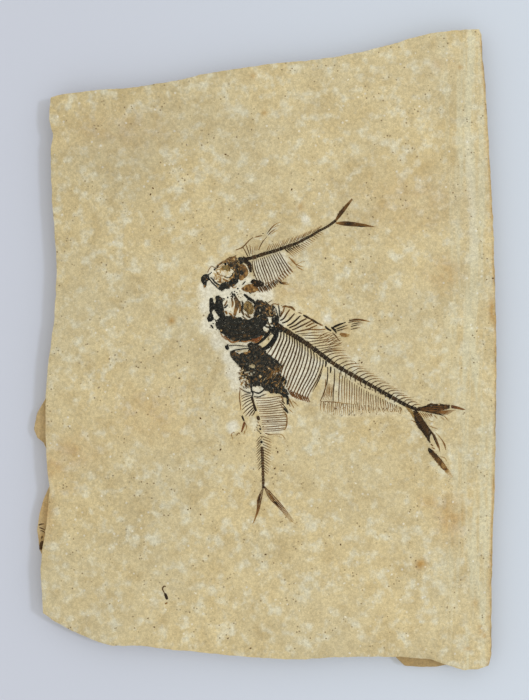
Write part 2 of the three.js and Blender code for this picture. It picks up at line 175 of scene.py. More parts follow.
lamp_turn = (0, math.radians(90 - LAMP_ELEVATION), math.radians(LAMP_BEARING))
bpy.ops.object.light_add(type="SUN", location=(0.6, 0, 1), rotation=lamp_turn)
lamp = bpy.context.object
lamp.data.energy = LAMP_STRENGTH
lamp.data.angle = math.radians(LAMP_SPREAD)
lamp.data.color = LAMP_COLOUR

sky = bpy.data.worlds.new("pale_room")
sky.use_nodes = True
sky.node_tree.nodes["Background"].inputs["Color"].default_value = (*SKY_COLOUR, 1)
sky.node_tree.nodes["Background"].inputs["Strength"].default_value = SKY_STRENGTH
bpy.context.scene.world = sky
bpy.context.scene.view_settings.view_transform = "Standard"
print("camera", round(camera_height, 4), "m above the table, lamp at", LAMP_ELEVATION, "degrees")

# %% [markdown]
# ## Shader maths written as Python
#
# A node tree is easier to read as a formula. `Value` wraps one output socket, and its operators add the Math
# nodes. `Finish` is one material: its `node` method makes any other node, and a few short methods name the
# things stone and bone need over and over, such as a noise of a certain grain size in millimetres.

# %% A socket that can be added and multiplied
def paint(red, green, blue):
    """A colour as a screen shows it, 0 to 255, turned into the light it stands for."""
    parts = [v / 255 for v in (red, green, blue)]
    return (*[v / 12.92 if v <= 0.04045 else ((v + 0.055) / 1.055) ** 2.4 for v in parts], 1)


class Value:
    """One output socket. Arithmetic on it adds Math nodes to its material."""

    def __init__(self, finish, socket):
        self.finish = finish
        self.socket = socket

    def math(self, operation, *others):
        sockets = dict(enumerate(others))
        return self.finish.node("ShaderNodeMath", {"operation": operation}, sockets)

    def __add__(self, other):
        return self.math("ADD", self, other)

    def __radd__(self, other):
        return self.math("ADD", other, self)

    def __sub__(self, other):
        return self.math("SUBTRACT", self, other)

    def __rsub__(self, other):
        return self.math("SUBTRACT", other, self)

    def __mul__(self, other):
        return self.math("MULTIPLY", self, other)

    def __rmul__(self, other):
        return self.math("MULTIPLY", other, self)


class Finish:
    """One material, built up from formulas."""

    def __init__(self, name):
        self.material = bpy.data.materials.new(name)
        self.material.use_nodes = True
        self.tree = self.material.node_tree
        self.surface = self.tree.nodes["Principled BSDF"]
        place = self.node("ShaderNodeTexCoord", take="Object")
        self.place = self.scaled(place, 1 / MM)

    def node(self, kind, settings=None, sockets=None, take=0):
        """Adds a node, sets it up, feeds its sockets, and returns the output that is asked for."""
        made = self.tree.nodes.new(kind)
        for name, setting in (settings or {}).items():
            if name == "stops":
                self.set_stops(made.color_ramp.elements, setting)
            else:
                setattr(made, name, setting)
        for name, source in (sockets or {}).items():
            self.feed(made.inputs[name], source)
        return Value(self, made.outputs[take])

    def feed(self, socket, source):
        if isinstance(source, Value):
            self.tree.links.new(source.socket, socket)
        else:
            socket.default_value = source

    def set_stops(self, elements, stops):
        while len(elements) < len(stops):
            elements.new(1)
        for element, (position, colour) in zip(elements, stops):
            element.position = position
            element.color = colour

    def noise(self, grain, detail=2, seed=0, stretch=(1, 1, 1)):
        """Cloudy noise from 0 to 1 whose lumps are about this many millimetres across."""
        place = self.place
        if stretch != (1, 1, 1):
            share = tuple(1 / v for v in stretch)
            place = self.node("ShaderNodeVectorMath", {"operation": "MULTIPLY"}, {0: place, 1: share})
        sockets = {"Vector": place, "W": seed, "Scale": 1 / grain, "Detail": detail}
        return self.node("ShaderNodeTexNoise", {"noise_dimensions": "4D"}, sockets)

    def step(self, value, low, high, least=0, most=1):
        """An easy curve from least where value is low to most where it is high."""
        sockets = {"Value": value, "From Min": low, "From Max": high, "To Min": least, "To Max": most}
        return self.node("ShaderNodeMapRange", {"interpolation_type": "SMOOTHSTEP"}, sockets)

    def mix(self, share, under, over):
        """Colours laid over each other: share 0 shows the one under, 1 the one over."""
        return self.node("ShaderNodeMix", {"data_type": "RGBA"}, {0: share, 6: under, 7: over}, take=2)

    def scaled(self, vector, factor):
        """A place or a colour multiplied by one number, which may vary: it shades a colour."""
        return self.node("ShaderNodeVectorMath", {"operation": "SCALE"}, {"Vector": vector, "Scale": factor})

    def flecks(self, spacing, size, seed):
        """Small round spots, 1 inside and 0 outside, one in each cell of a jumbled grid."""
        shift = self.node("ShaderNodeVectorMath", {"operation": "ADD"}, {0: self.place, 1: (seed, seed, 0)})
        sockets = {"Vector": shift, "Scale": 1 / spacing}
        distance = self.node("ShaderNodeTexVoronoi", {"feature": "F1"}, sockets)
        return self.step(distance, size / spacing, 0.5 * size / spacing)

    def attribute(self, name):
        return self.node("ShaderNodeAttribute", {"attribute_name": name}, take="Fac")

    def wear(self, colour, roughness, relief, depth):
        """Joins the formulas to the surface: its colour, its roughness and its fine relief in millimetres."""
        self.feed(self.surface.inputs["Base Color"], colour)
        self.feed(self.surface.inputs["Roughness"], roughness)
        bump = self.node("ShaderNodeBump", {}, {"Height": relief, "Distance": depth * MM, "Strength": 1})
        self.feed(self.surface.inputs["Normal"], bump)
        print("finish", self.material.name, "has", len(self.tree.nodes), "nodes")
        return self.material


# %% [markdown]
# ## The table
#
# A plain pale sheet under the slab. It belongs to the stage and not to the object. It is a touch lighter on
# the right, where the lamp stands.

# %% Lay the table
TABLE_SIZE = 6
TABLE_GAP = 0.02
TABLE_FADE = 130
TABLE_LEFT = paint(198, 202, 212)
TABLE_RIGHT = paint(207, 215, 224)

bpy.ops.mesh.primitive_plane_add(size=TABLE_SIZE, location=(0, 0, -TABLE_GAP * MM))
table = bpy.context.object
table.name = "table"
table_finish = Finish("pale_sheet")
table_across = table_finish.node("ShaderNodeSeparateXYZ", {}, {0: table_finish.place}, take="X")
table_light = table_finish.step(table_across, -TABLE_FADE, TABLE_FADE)
table_colour = table_finish.mix(table_light, TABLE_LEFT, TABLE_RIGHT)
table_grain = table_finish.noise(1.5, 3)
table.data.materials.append(table_finish.wear(table_colour, 0.7, table_grain, 0.01))

# %% [markdown]
# ## The stone: outline, relief and broken sides
#
# A split slab has one fairly flat face and sides that broke layer by layer. A grid is added and its four
# sides are pulled onto the four broken edges, with every inner vertex blended between them (a Coons patch),
# so the vertices run evenly from edge to edge. Then the rim is extruded downwards ring by ring. Each thin
# layer of the stone is two rings, set back by its own uneven amount, and on the three ledges the rings run
# out to where a lower layer was left standing. This was chosen over a carved block because the layers stay
# level and crisp.

# %% The four broken edges, in millimetres
LEFT_EDGE = [
    [-85.5, 101], [-86, 92.5], [-84.5, 85.5], [-85.5, 80], [-85, 60], [-84, 50], [-83, 32], [-83.5, 20],
    [-84.5, 8], [-86.5, -5], [-87.5, -19], [-87.5, -32], [-87, -45], [-86, -55.5], [-86.5, -63.5],
    [-87.5, -72], [-89, -81.5], [-89.5, -88], [-89, -99.5], [-88.5, -105.5],
]
BOTTOM_EDGE = [
    [-83.5, -109], [-77, -112.5], [-69, -116], [-61, -118.5], [-49.5, -118.5], [-37.5, -120], [-25.5, -121],
    [-13.5, -122.5], [-1, -123.5], [14.5, -124], [32.5, -123], [44.5, -123], [54.5, -123], [66.5, -124],
    [72.5, -126], [80, -128.3], [85.5, -128],
]
RIGHT_EDGE = [
    [90, -126.5], [91, -122], [91, -116], [91, -94], [91.5, -76], [92, -62], [92.5, -42], [92.9, -20],
    [92.9, 4], [92.5, 24], [92, 42], [91, 64], [89.5, 88], [88.5, 106], [87.5, 116.5], [87, 126],
]
TOP_EDGE = [
    [86, 128.3], [81.5, 128], [74.5, 127.5], [66.5, 126.5], [58.5, 124.5], [50.5, 122], [38.5, 119],
    [27.5, 117], [14.5, 115.5], [0.5, 114], [-13, 112], [-25.5, 110], [-33.5, 108], [-45.5, 106],
    [-55.5, 104.5], [-64.5, 104], [-73.5, 103], [-81.5, 102],
]
LEDGES = [
    (4.6, [[-80, -20], [-86.5, -17], [-89.5, -22], [-91.5, -25.5], [-92.5, -30], [-92.9, -32],
           [-91.5, -35.5], [-89, -37.5], [-86.5, -42.5], [-80, -40]]),
    (5.2, [[-80, -55], [-85.5, -53], [-88.8, -60], [-90.6, -66], [-91.6, -72.5], [-91, -76], [-90.6, -80],
           [-88.6, -84.5], [-80, -82]]),
    (4.2, [[51, -117], [50, -121], [53, -124], [56.5, -127.5], [62.5, -128], [69, -128], [74, -127],
           [78, -125.5], [77, -117]]),
]
edge_counts = [len(edge) for edge in (LEFT_EDGE, BOTTOM_EDGE, RIGHT_EDGE, TOP_EDGE)]
print("points on the left, bottom, right and top edge:", edge_counts, "and", len(LEDGES), "ledges")

# %% [markdown]
# ### The split face
#
# The face swells and dips by a tenth of a millimetre or so. Someone scraped stone away round the heads with a
# needle to free the bones, which left a shallow pale hollow there. The right-hand edge is worn to a bevel.

# %% How high the face is at any point
SWELL_COUNT = 9
SWELL_HEIGHT = 0.045
SWELL_LENGTHS = (14, 90)
BEVEL_WIDTH = 9
BEVEL_DROP = 0.5
BEVEL_CURVE = 1.7
SCRAPE_DEPTH = 0.2
SCRAPE_SLOPE = 0.55
NEEDLE_MARKS = 0.03
SCRAPED = [
    (-22, 24, 6), (-23, 17, 4.5), (-21.5, 10, 5.5), (-17, 4.5, 6.5), (-13, -2, 6), (-12, -9, 5),
    (-11, -14, 4), (-12.4, -30.4, 2.7), (-12.9, -32.2, 2.1), (-15, 23, 8), (-8, 23.5, 8), (-2, 23, 7),
    (1, 21.5, 4), (-16, 15, 8), (-8, 10, 12), (3, 12, 8), (25.2, 12.4, 2.1), (16.5, 52, 2.1), (-4, -14, 8),
    (6, -2, 7), (-19, 30, 5), (-8, 27, 5),
]
swell_chance = np.random.default_rng(3)
swell_turns = swell_chance.uniform(0, 2 * math.pi, SWELL_COUNT)
swell_waves = 2 * math.pi / swell_chance.uniform(*SWELL_LENGTHS, SWELL_COUNT)
swell_phases = swell_chance.uniform(0, 2 * math.pi, SWELL_COUNT)


def scraped(x, y):
    """1 in the pale hollow that the needle left, 0 on the untouched face."""
    mask = np.zeros_like(x)
    for centre_x, centre_y, radius in SCRAPED:
        near = 1 - np.hypot(x - centre_x, y - centre_y) / radius
        mask = np.maximum(mask, smooth_step(0, SCRAPE_SLOPE, near))
    return mask


def from_right_edge(x, y):
    """How far each place lies inside the right-hand edge."""
    edge_y, edge_x = zip(*sorted((py, px) for px, py in RIGHT_EDGE))
    return np.interp(y, edge_y, edge_x) - x


def face_height(x, y):
    """The split face's height above its mean level at places in millimetres."""
    x, y = np.asarray(x, float), np.asarray(y, float)
    height = np.zeros_like(x)
    for turn, wave, phase in zip(swell_turns, swell_waves, swell_phases):
        height += SWELL_HEIGHT * np.sin(wave * (x * math.cos(turn) + y * math.sin(turn)) + phase)
    height -= BEVEL_DROP * np.clip(1 - from_right_edge(x, y) / BEVEL_WIDTH, 0, 1) ** BEVEL_CURVE
    needle = np.sin(2.1 * x + 1.3 * y) * np.sin(0.9 * y - 1.7 * x + 1)
    return height - scraped(x, y) * (SCRAPE_DEPTH + NEEDLE_MARKS * needle)


print("face height over the middle", round(float(face_height(10, 10)), 3), "mm")

# %% Pull a grid onto the broken edges
CELL = 0.9
EDGE_ROUGHNESS = 0.22
NOTCH_LENGTH = 5
CORNER_CALM = 4
LAYER_EDGES = [8.0, 7.55, 6.7, 6.15, 5.3, 4.5, 4.05, 3.3, 2.6, 1.7, 1.2, 0]
LAYER_SETBACK = [0, 0.35, 0.15, 0.9, 0.5, 1.1, 0.7, 1.3, 0.8, 1.5, 1.1]

bottom_left = LEFT_EDGE[-1]
bottom_right = BOTTOM_EDGE[-1]
top_right = RIGHT_EDGE[-1]
top_left = TOP_EDGE[-1]
grid_across = round((slab_high.x - slab_low.x) / CELL)
grid_along = round((slab_high.y - slab_low.y) / CELL)


def broken_edge(points, count, seed):
    """Evenly spaced points along a broken edge, with the small notches that the given points leave out."""
    points = np.array(points, float)
    runs = np.concatenate([[0], np.cumsum(np.hypot(*np.diff(points, axis=0).T))])
    spaced = np.linspace(0, runs[-1], count + 1)
    line = np.column_stack([np.interp(spaced, runs, points[:, 0]), np.interp(spaced, runs, points[:, 1])])
    along = np.gradient(line, axis=0)
    side = np.column_stack([-along[:, 1], along[:, 0]]) / np.hypot(*along.T)[:, None]
    ends = np.minimum(1, np.minimum(spaced, runs[-1] - spaced) / CORNER_CALM)
    notch = [noise.fractal(Vector((s / NOTCH_LENGTH, seed, 0)), 0.7, 2.1, 5) for s in spaced]
    return line + side * (EDGE_ROUGHNESS * np.array(notch) * ends)[:, None]


edge_bottom = broken_edge([bottom_left] + BOTTOM_EDGE, grid_across, 1.5)
edge_right = broken_edge([bottom_right] + RIGHT_EDGE, grid_along, 2.5)
edge_top = broken_edge([top_right] + TOP_EDGE, grid_across, 3.5)[::-1]
edge_left = broken_edge([top_left] + LEFT_EDGE, grid_along, 4.5)[::-1]

bpy.ops.object.select_all(action="DESELECT")
bpy.ops.mesh.primitive_grid_add(x_subdivisions=grid_across, y_subdivisions=grid_along, size=1)
stone = bpy.context.object
stone.name = "split_limestone"
bpy.ops.object.mode_set(mode="EDIT")
bpy.ops.mesh.select_mode(type="EDGE")
bpy.ops.mesh.select_all(action="SELECT")
bpy.ops.mesh.region_to_loop()
ring_count = 2 * (len(LAYER_EDGES) - 1)
for ring in range(ring_count):
    bpy.ops.mesh.extrude_edges_move(TRANSFORM_OT_translate={"value": (0, 0, -1)})
bpy.ops.mesh.edge_face_add()
bpy.ops.object.mode_set(mode="OBJECT")
print("stone grid", grid_across, "x", grid_along, "with", ring_count, "rings down its sides")

# %% Find how far the ledges stand out
LEDGE_CATCH = 0.4
LEDGE_TREAD = [(0.05, 0), (0, 0.55), (-0.15, 0.97)]
LEDGE_BROW = 0.5


def ledge_reach(start, way, outline):
    """How far a ledge stands out from a point on the rim: 0 where the ray from there misses it."""
    reach = 0
    for (ax, ay), (bx, by) in zip(outline, outline[1:]):
        edge = (bx - ax, by - ay)
        across = way[0] * edge[1] - way[1] * edge[0]
        if abs(across) < 1e-9:
            continue
        gap = (ax - start[0], ay - start[1])
        distance = (gap[0] * edge[1] - gap[1] * edge[0]) / across
        share = (gap[0] * way[1] - gap[1] * way[0]) / across
        if 0 <= share <= 1:
            reach = max(reach, distance)
    return reach


def side_profile(reach, ledge_top):
    """Ring by ring, how far out from the rim and how high the broken side is, where a ledge stands out."""
    heights = np.repeat(LAYER_EDGES, 2)[1:-1].astype(float)
    outs = np.zeros(ring_count)
    if reach > 0:
        shelf = int(np.argmax(heights < ledge_top + LEDGE_CATCH))
        foot = shelf + len(LEDGE_TREAD)
        for ring, (rise, share) in enumerate(LEDGE_TREAD, shelf):
            heights[ring] = ledge_top + rise
            outs[ring] = share * reach
        heights[foot:] = np.linspace(ledge_top - LEDGE_BROW, 0, ring_count - foot)
        outs[foot:] = reach
    return outs, heights


print("a 3 mm ledge steps out by", sorted(set(side_profile(3.0, 5.2)[0].round(2).tolist())), "mm")

# %% Set each layer back by its own amount
LAYER_WANDER = 0.3
LONG_WAVES = [7, 19, 31, 67]
SHORT_WAVES = [113, 171, 239, 307]
SHORT_WAVE_SHARE = 0.5
LEAST_SETBACK = 0.02
TOP_LAYER_SHARE = 0.45
GROOVE = 0.07
LEDGE_INSET = 0.2

rim = np.vstack([edge_bottom[:-1], edge_right[:-1], edge_top[::-1][:-1], edge_left[::-1][:-1]])
rim_along = np.roll(rim, -3, axis=0) - np.roll(rim, 3, axis=0)
rim_out = np.column_stack([rim_along[:, 1], -rim_along[:, 0]]) / np.hypot(*rim_along.T)[:, None]
rim_share = np.arange(len(rim)) / len(rim) * 2 * math.pi
rim_chance = np.random.default_rng(8)


def wander(waves):
    """A line that wanders between about -1 and 1 round the rim and meets itself."""
    phases = rim_chance.uniform(0, 2 * math.pi, len(waves))
    weights = rim_chance.uniform(0.4, 1, len(waves))
    curves = [w * np.sin(n * rim_share + p) for n, p, w in zip(waves, phases, weights)]
    return sum(curves) / weights.sum() * 2


side_outs = np.zeros((len(rim), ring_count))
side_heights = np.zeros((len(rim), ring_count))
inset_share = np.ones(len(rim))
for index, (start, way) in enumerate(zip(rim, rim_out)):
    reaches = [ledge_reach(start, way, outline) for _, outline in LEDGES]
    best = int(np.argmax(reaches))
    side_outs[index], side_heights[index] = side_profile(reaches[best], LEDGES[best][0])
    inset_share[index] = LEDGE_INSET if reaches[best] > 0 else 1
for layer, setback in enumerate(LAYER_SETBACK):
    uneven = LAYER_WANDER * (wander(LONG_WAVES) + SHORT_WAVE_SHARE * wander(SHORT_WAVES))
    inset = np.maximum(setback + uneven * min(1, layer), LEAST_SETBACK + LEAST_SETBACK * layer)
    for ring in (2 * layer, 2 * layer + 1):
        side_outs[:, ring] -= inset * (TOP_LAYER_SHARE if layer < 1 else 1) * inset_share
side_heights[:, 1:-1:2] += GROOVE / 2
side_heights[:, 2:-1:2] -= GROOVE / 2
print("rim has", len(rim), "points, of which", int((inset_share < 1).sum()), "carry a ledge")

# %% Find each vertex's place on the grid
grid = points_of(stone) * MM
share_x = grid[:, 0] + 0.5
share_y = grid[:, 1] + 0.5
ring_of = np.rint(-grid[:, 2]).astype(int)
column = np.clip(np.rint(share_x * grid_across).astype(int), 0, grid_across)
row = np.clip(np.rint(share_y * grid_along).astype(int), 0, grid_along)
u = share_x[:, None]
v = share_y[:, None]
flat = (1 - v) * edge_bottom[column] + v * edge_top[column] + (1 - u) * edge_left[row] + u * edge_right[row]
flat -= (1 - u) * (1 - v) * edge_bottom[0] + u * (1 - v) * edge_bottom[-1]
flat -= (1 - u) * v * edge_top[0] + u * v * edge_top[-1]

rim_index = np.full(len(grid), -1)
rim_index[row == 0] = column[row == 0]
rim_index[column == grid_across] = grid_across + row[column == grid_across]
top_row = row == grid_along
rim_index[top_row] = grid_across + grid_along + grid_across - column[top_row]
first_column = (column == 0) & (row > 0)
rim_index[first_column] = 2 * grid_across + 2 * grid_along - row[first_column]
rim_index[rim_index >= len(rim)] = 0
print("vertices on the rim and below it:", int((rim_index >= 0).sum()))

# %% Put every vertex on the stone
GRAIN_HEIGHT = 0.01
CHIP_WAVES = [23, 41, 89, 131, 197, 283]
CHIP_START = 0.1
CHIP_DEPTH = 0.45
CHIP_INSET = 0.15
RIM_DROP = 0.1
CREASE_ANGLE = 38
grain_chance = np.random.default_rng(21)
placed = np.column_stack([flat, THICKNESS + face_height(flat[:, 0], flat[:, 1])])
placed[:, 2] += GRAIN_HEIGHT * grain_chance.standard_normal(len(placed))
on_rim = (rim_index >= 0) & (ring_of == 0)
chips = np.clip(wander(CHIP_WAVES) - CHIP_START, 0, 1)
placed[on_rim, 2] -= RIM_DROP + CHIP_DEPTH * chips[rim_index[on_rim]]
on_side = ring_of > 0
side_rim = rim_index[on_side]
side_ring = ring_of[on_side] - 1
outs = side_outs[side_rim, side_ring] - CHIP_INSET * chips[side_rim] * (side_ring < 2)
placed[on_side, :2] = rim[side_rim] + rim_out[side_rim] * outs[:, None]
placed[on_side, 2] = side_heights[side_rim, side_ring]
lowest_rim = placed[on_rim, 2].min()
first_ring = on_side & (ring_of == 1)
placed[first_ring, 2] = np.minimum(placed[first_ring, 2], lowest_rim - RIM_DROP)
placed[ring_of == ring_count, 2] = 0
move_points(stone, placed)

select_only(stone)
bpy.ops.object.mode_set(mode="EDIT")
bpy.ops.mesh.select_all(action="SELECT")
bpy.ops.mesh.normals_make_consistent(inside=False)
bpy.ops.object.mode_set(mode="OBJECT")
bpy.ops.object.shade_smooth_by_angle(angle=math.radians(CREASE_ANGLE))
print("stone has", len(stone.data.vertices), "vertices; highest", round(placed[:, 2].max(), 2), "mm")

# %% [markdown]
# ### The stone's colour
#
# Seen close, this limestone is never one tan: pale grey-green clouds a few millimetres wide drift through it,
# ochre patches lie between them, and fine dark and light specks are strewn about. Rust stains have soft edges
# and known places, so they and the scraped hollow are written on the vertices as masks. The rest is noise
# worked out from the place on the stone. The sides are browner and striped by the bedding.

# %% Write the masks
STAINS = [
    (72.5, 30, 7, 6, 0.5), (74.5, -68, 6, 9, 0.6), (-76, -41, 9, 7, 0.5), (62.5, -86, 2.2, 2.2, 0.9),
    (14.5, 57, 1.5, 1.5, 0.6), (71.5, 114, 4, 2.5, 0.6), (-37, 11.5, 1.2, 1.2, 0.8), (-4.5, 109.5, 1, 1, 0.8),
    (0, 94.5, 1, 1, 0.8), (78.5, 113, 1.2, 1, 0.7), (86.4, -111, 0.9, 0.9, 0.8), (86.8, -113, 1, 1, 0.9),
    (88, -114.6, 0.9, 0.9, 0.9), (81.5, -119.8, 1.3, 1, 0.8), (84.4, -101, 1.2, 1.4, 0.5),
    (90, -107, 0.9, 1.5, 0.7), (66, -61, 4, 3, 0.45), (-84.5, -47, 6, 7, 0.6), (-91, -30, 4, 8, 0.45),
    (33, 8.5, 3, 2, 0.3), (12, 24, 9, 4, 0.25), (-89, -64, 4, 9, 0.9), (-46, -26, 16, 10, 0.3),
    (-60, 88, 20, 8, 0.3), (60, 60, 22, 12, 0.25), (-79, -55, 5, 3, 0.35), (91.5, 16, 1.5, 5, 0.9),
]
CLEANED = [
    (1.0, [[5, 9], [24, -5], [18, -22], [9, -20], [-2, -4]]),
    (0.15, [[5, 10], [8, 18], [28, 8], [62, -21], [60, -25], [24, -3]]),
    (0.85, [[-5, 36], [9, 40], [12, 31], [2, 23], [-4, 23]]),
    (0.5, [[-4, -18], [8, -18], [9, -34], [-1, -35]]),
    (0.25, [[23, -8], [56, -25], [54, -27], [30, -28], [21, -25]]),
    (0.5, [[-10, -15], [-5, -19], [-3, -26], [-8, -28]]),
    (0.3, [[79.5, 88], [83, 88], [86.5, 36], [82, 34]]),
]
CLEANED_EDGE = 1.6
FACE_DEPTH = 1.2
EDGE_STAIN = 0.6
EDGE_STAIN_WIDTH = 1.5
face_x, face_y = placed[:, 0], placed[:, 1]
stain = np.zeros(len(placed))
for centre_x, centre_y, half_x, half_y, strength in STAINS:
    away = ((face_x - centre_x) / half_x) ** 2 + ((face_y - centre_y) / half_y) ** 2
    stain = np.maximum(stain, strength * np.exp(-away))
stain = np.maximum(stain, EDGE_STAIN * smooth_step(EDGE_STAIN_WIDTH, 0.3, from_right_edge(face_x, face_y)))
give_attribute(stone, "stain", stain)
pale = scraped(face_x, face_y)
for share, outline in CLEANED:
    from_edge = edge_distance(outline, placed[:, :2]) * inside(outline, placed[:, :2])
    pale = np.maximum(pale, share * smooth_step(0, CLEANED_EDGE, from_edge))
give_attribute(stone, "bared", pale * (placed[:, 2] > THICKNESS - FACE_DEPTH))
print("stained vertices", int((stain > 0.2).sum()), "bared", int((pale > 0.3).sum()))

# %% Mix the colours of the face
STONE_TAN = paint(206, 191, 149)
STONE_WARM = paint(208, 190, 143)
STONE_CLOUD = paint(219, 214, 187)
STONE_OCHRE = paint(184, 162, 112)
STONE_BARED = paint(223, 217, 193)
STONE_RUST = paint(182, 145, 84)
STONE_SPECK = paint(108, 82, 44)
STONE_FLECK = paint(232, 230, 216)
STONE_SIDE = paint(174, 148, 100)
STONE_SIDE_PALE = paint(198, 177, 132)
STONE_BAND = paint(211, 205, 172)

slab_finish = Finish("split_lake_limestone")
broad = slab_finish.noise(34, 3, seed=1)
drift = slab_finish.noise(12, 3, seed=11)
clouds = slab_finish.noise(3.6, 2, seed=2)
patches = slab_finish.noise(6, 3, seed=3)
ripple = slab_finish.noise(1.1, 2, seed=4)
grain = slab_finish.noise(0.45, 2, seed=5)
colour = slab_finish.mix(slab_finish.step(broad, 0.35, 0.65), STONE_TAN, STONE_WARM)
colour = slab_finish.mix(slab_finish.step(drift, 0.42, 0.7, 0, 0.4), colour, STONE_OCHRE)
colour = slab_finish.mix(slab_finish.step(clouds, 0.46, 0.76, 0, 0.8), colour, STONE_CLOUD)
colour = slab_finish.mix(slab_finish.step(patches, 0.46, 0.78, 0, 0.6), colour, STONE_OCHRE)

across_stone = slab_finish.node("ShaderNodeSeparateXYZ", {}, {0: slab_finish.place}, take="X")
along_stone = slab_finish.node("ShaderNodeSeparateXYZ", {}, {0: slab_finish.place}, take="Y")
height_on_stone = slab_finish.node("ShaderNodeSeparateXYZ", {}, {0: slab_finish.place}, take="Z")
streaks = slab_finish.noise(3.2, 3, seed=6, stretch=(1, 14, 1))
streaked = slab_finish.step(across_stone, 62, 84) * slab_finish.step(streaks, 0.46, 0.64, 0, 0.7)
colour = slab_finish.mix(streaked, colour, STONE_BAND)

rust = slab_finish.attribute("stain") * slab_finish.step(patches + clouds, 0.7, 1.2, 0.3, 1.3)
colour = slab_finish.mix(rust, colour, STONE_RUST)
bared = slab_finish.attribute("bared") * slab_finish.step(clouds + ripple, 0.6, 1.2, 0.6, 1)
colour = slab_finish.mix(bared, colour, STONE_BARED)
print("face colours mixed with", len(slab_finish.tree.nodes), "nodes so far")

# %% Strew the specks, stripe the sides and finish the stone
SPECK_STRENGTH = 0.8
CHALK_STRENGTH = 0.5
SIDE_DEPTH = 1.8
# How much painted shade darkens the upper left of the face.
CORNER_PAINTED_SHADE = 0.06

clustered = slab_finish.step(slab_finish.noise(9, 2, seed=7), 0.44, 0.6)
specks = slab_finish.flecks(1.7, 0.42, 5) * clustered
specks = specks * slab_finish.step(slab_finish.noise(3.5, 0, seed=8), 0.46, 0.58)
colour = slab_finish.mix(specks * SPECK_STRENGTH, colour, STONE_SPECK)
chalk = slab_finish.flecks(3.6, 0.6, 9) * slab_finish.step(slab_finish.noise(6, 0, seed=9), 0.48, 0.6)
colour = slab_finish.mix(chalk * CHALK_STRENGTH, colour, STONE_FLECK)

bedding = slab_finish.noise(0.5, 3, seed=10, stretch=(40, 40, 1))
side_colour = slab_finish.mix(slab_finish.step(bedding, 0.4, 0.62), STONE_SIDE, STONE_SIDE_PALE)
side_rust = slab_finish.step(patches, 0.5, 0.7, 0, 0.35) + slab_finish.attribute("stain") * 0.6
side_colour = slab_finish.mix(side_rust, side_colour, STONE_RUST)
sidewards = slab_finish.step(height_on_stone, THICKNESS - FACE_DEPTH, THICKNESS - SIDE_DEPTH)
colour = slab_finish.mix(sidewards, colour, side_colour)

grain_and_painted_shade = slab_finish.step(ripple, 0.25, 0.75, 0.86, 1.12) * slab_finish.step(grain, 0.2, 0.8, 0.84, 1.14)
grain_and_painted_shade = grain_and_painted_shade * slab_finish.step(broad, 0.3, 0.7, 0.96, 1.04)
# Painted shade: the face is darker towards the left and a touch lighter on the right, as the lamp on the right
# lights it. It is also darker towards the bottom edge.
grain_and_painted_shade = grain_and_painted_shade * slab_finish.step(across_stone, -85, 20, 0.935, 0.975)
grain_and_painted_shade = grain_and_painted_shade * slab_finish.step(across_stone, 20, 80, 1.0, 1.01)
grain_and_painted_shade = grain_and_painted_shade * slab_finish.step(along_stone, -127, -108, 0.955, 1)
# Painted shade: the upper left of the face is a little darker still.
painted_shade_corner = slab_finish.step(along_stone, 0, 80) * slab_finish.step(across_stone, 10, -60)
colour = slab_finish.scaled(colour, grain_and_painted_shade * (1 - painted_shade_corner * CORNER_PAINTED_SHADE))
stone_relief = ripple * 0.5 + grain * 0.35 + clouds * 0.5
stone_roughness = slab_finish.step(grain, 0.2, 0.8, 0.8, 0.95)
stone.data.materials.append(slab_finish.wear(colour, stone_roughness, stone_relief, 0.06))

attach(stone, BODY)
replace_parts(stone, "limestone_slab")

# %% [markdown]
# ## The colour of the bones
#
# The bones run from black through brown to tan and cream, often along one and the same rib. So they share one
# formula: each bone carries a tone along its length, 0 for black and 1 for cream, and a colour ramp turns the
# tone into colour. The skulls have a ramp with greyer blacks. Fine noise scatters the tone, which gives the
# speckle of crushed bone. Two more numbers on the bones mix in rust and the olive of the eyeballs. The sheen
# is kept low, because a bright room would turn glossy black bone grey.

# %% Mix the bone finishes
BONE_STOPS = [
    (0.0, paint(19, 16, 11)), (0.2, paint(54, 41, 25)), (0.4, paint(88, 62, 32)),
    (0.6, paint(138, 100, 52)), (0.8, paint(180, 152, 98)), (1.0, paint(226, 217, 188)),
]
SKULL_STOPS = [(0.0, paint(17, 17, 14)), (0.2, paint(47, 46, 38)), (0.4, paint(84, 65, 40))] + BONE_STOPS[3:]
OLIVE_BONE = paint(128, 110, 64)
RUST_BONE = paint(134, 76, 38)
BONE_SHEEN = 0.12


def bone_finish(name, stops, scatter, speckle, gloss):
    """A bone finish. Scatter is how far the tone strays, speckle how much pale stone clings on."""
    finish = Finish(name)
    blotches = finish.noise(0.9, 3, seed=31)
    crumbs = finish.noise(0.32, 2, seed=32)
    tone = finish.attribute("tone") + (blotches - 0.5) * scatter + (crumbs - 0.5) * (scatter * 0.8)
    colour = finish.node("ShaderNodeValToRGB", {"stops": stops}, {"Fac": tone})
    colour = finish.mix(finish.attribute("olive"), colour, OLIVE_BONE)
    colour = finish.mix(finish.attribute("rust") * finish.step(blotches, 0.3, 0.6, 0.4, 1), colour, RUST_BONE)
    clinging = finish.step(finish.noise(0.42, 1, seed=33), 0.66, 0.72) * speckle
    colour = finish.mix(clinging, colour, STONE_BARED)
    colour = finish.scaled(colour, finish.step(crumbs, 0.3, 0.7, 0.8, 1.2))
    roughness = finish.step(blotches, 0.3, 0.7, gloss, gloss + 0.2)
    finish.surface.inputs["Specular IOR Level"].default_value = BONE_SHEEN
    return finish.wear(colour, roughness, blotches * 0.7 + crumbs * 0.5, 0.06)


bone_finishes = {
    "skull_bone": bone_finish("crushed_skull_bone", SKULL_STOPS, 0.38, 0.35, 0.42),
    "fossil_bone": bone_finish("backbone_and_rib_bone", BONE_STOPS, 0.25, 0.1, 0.45),
    "fin_bone": bone_finish("fin_ray_bone", BONE_STOPS, 0.3, 0.15, 0.5),
}
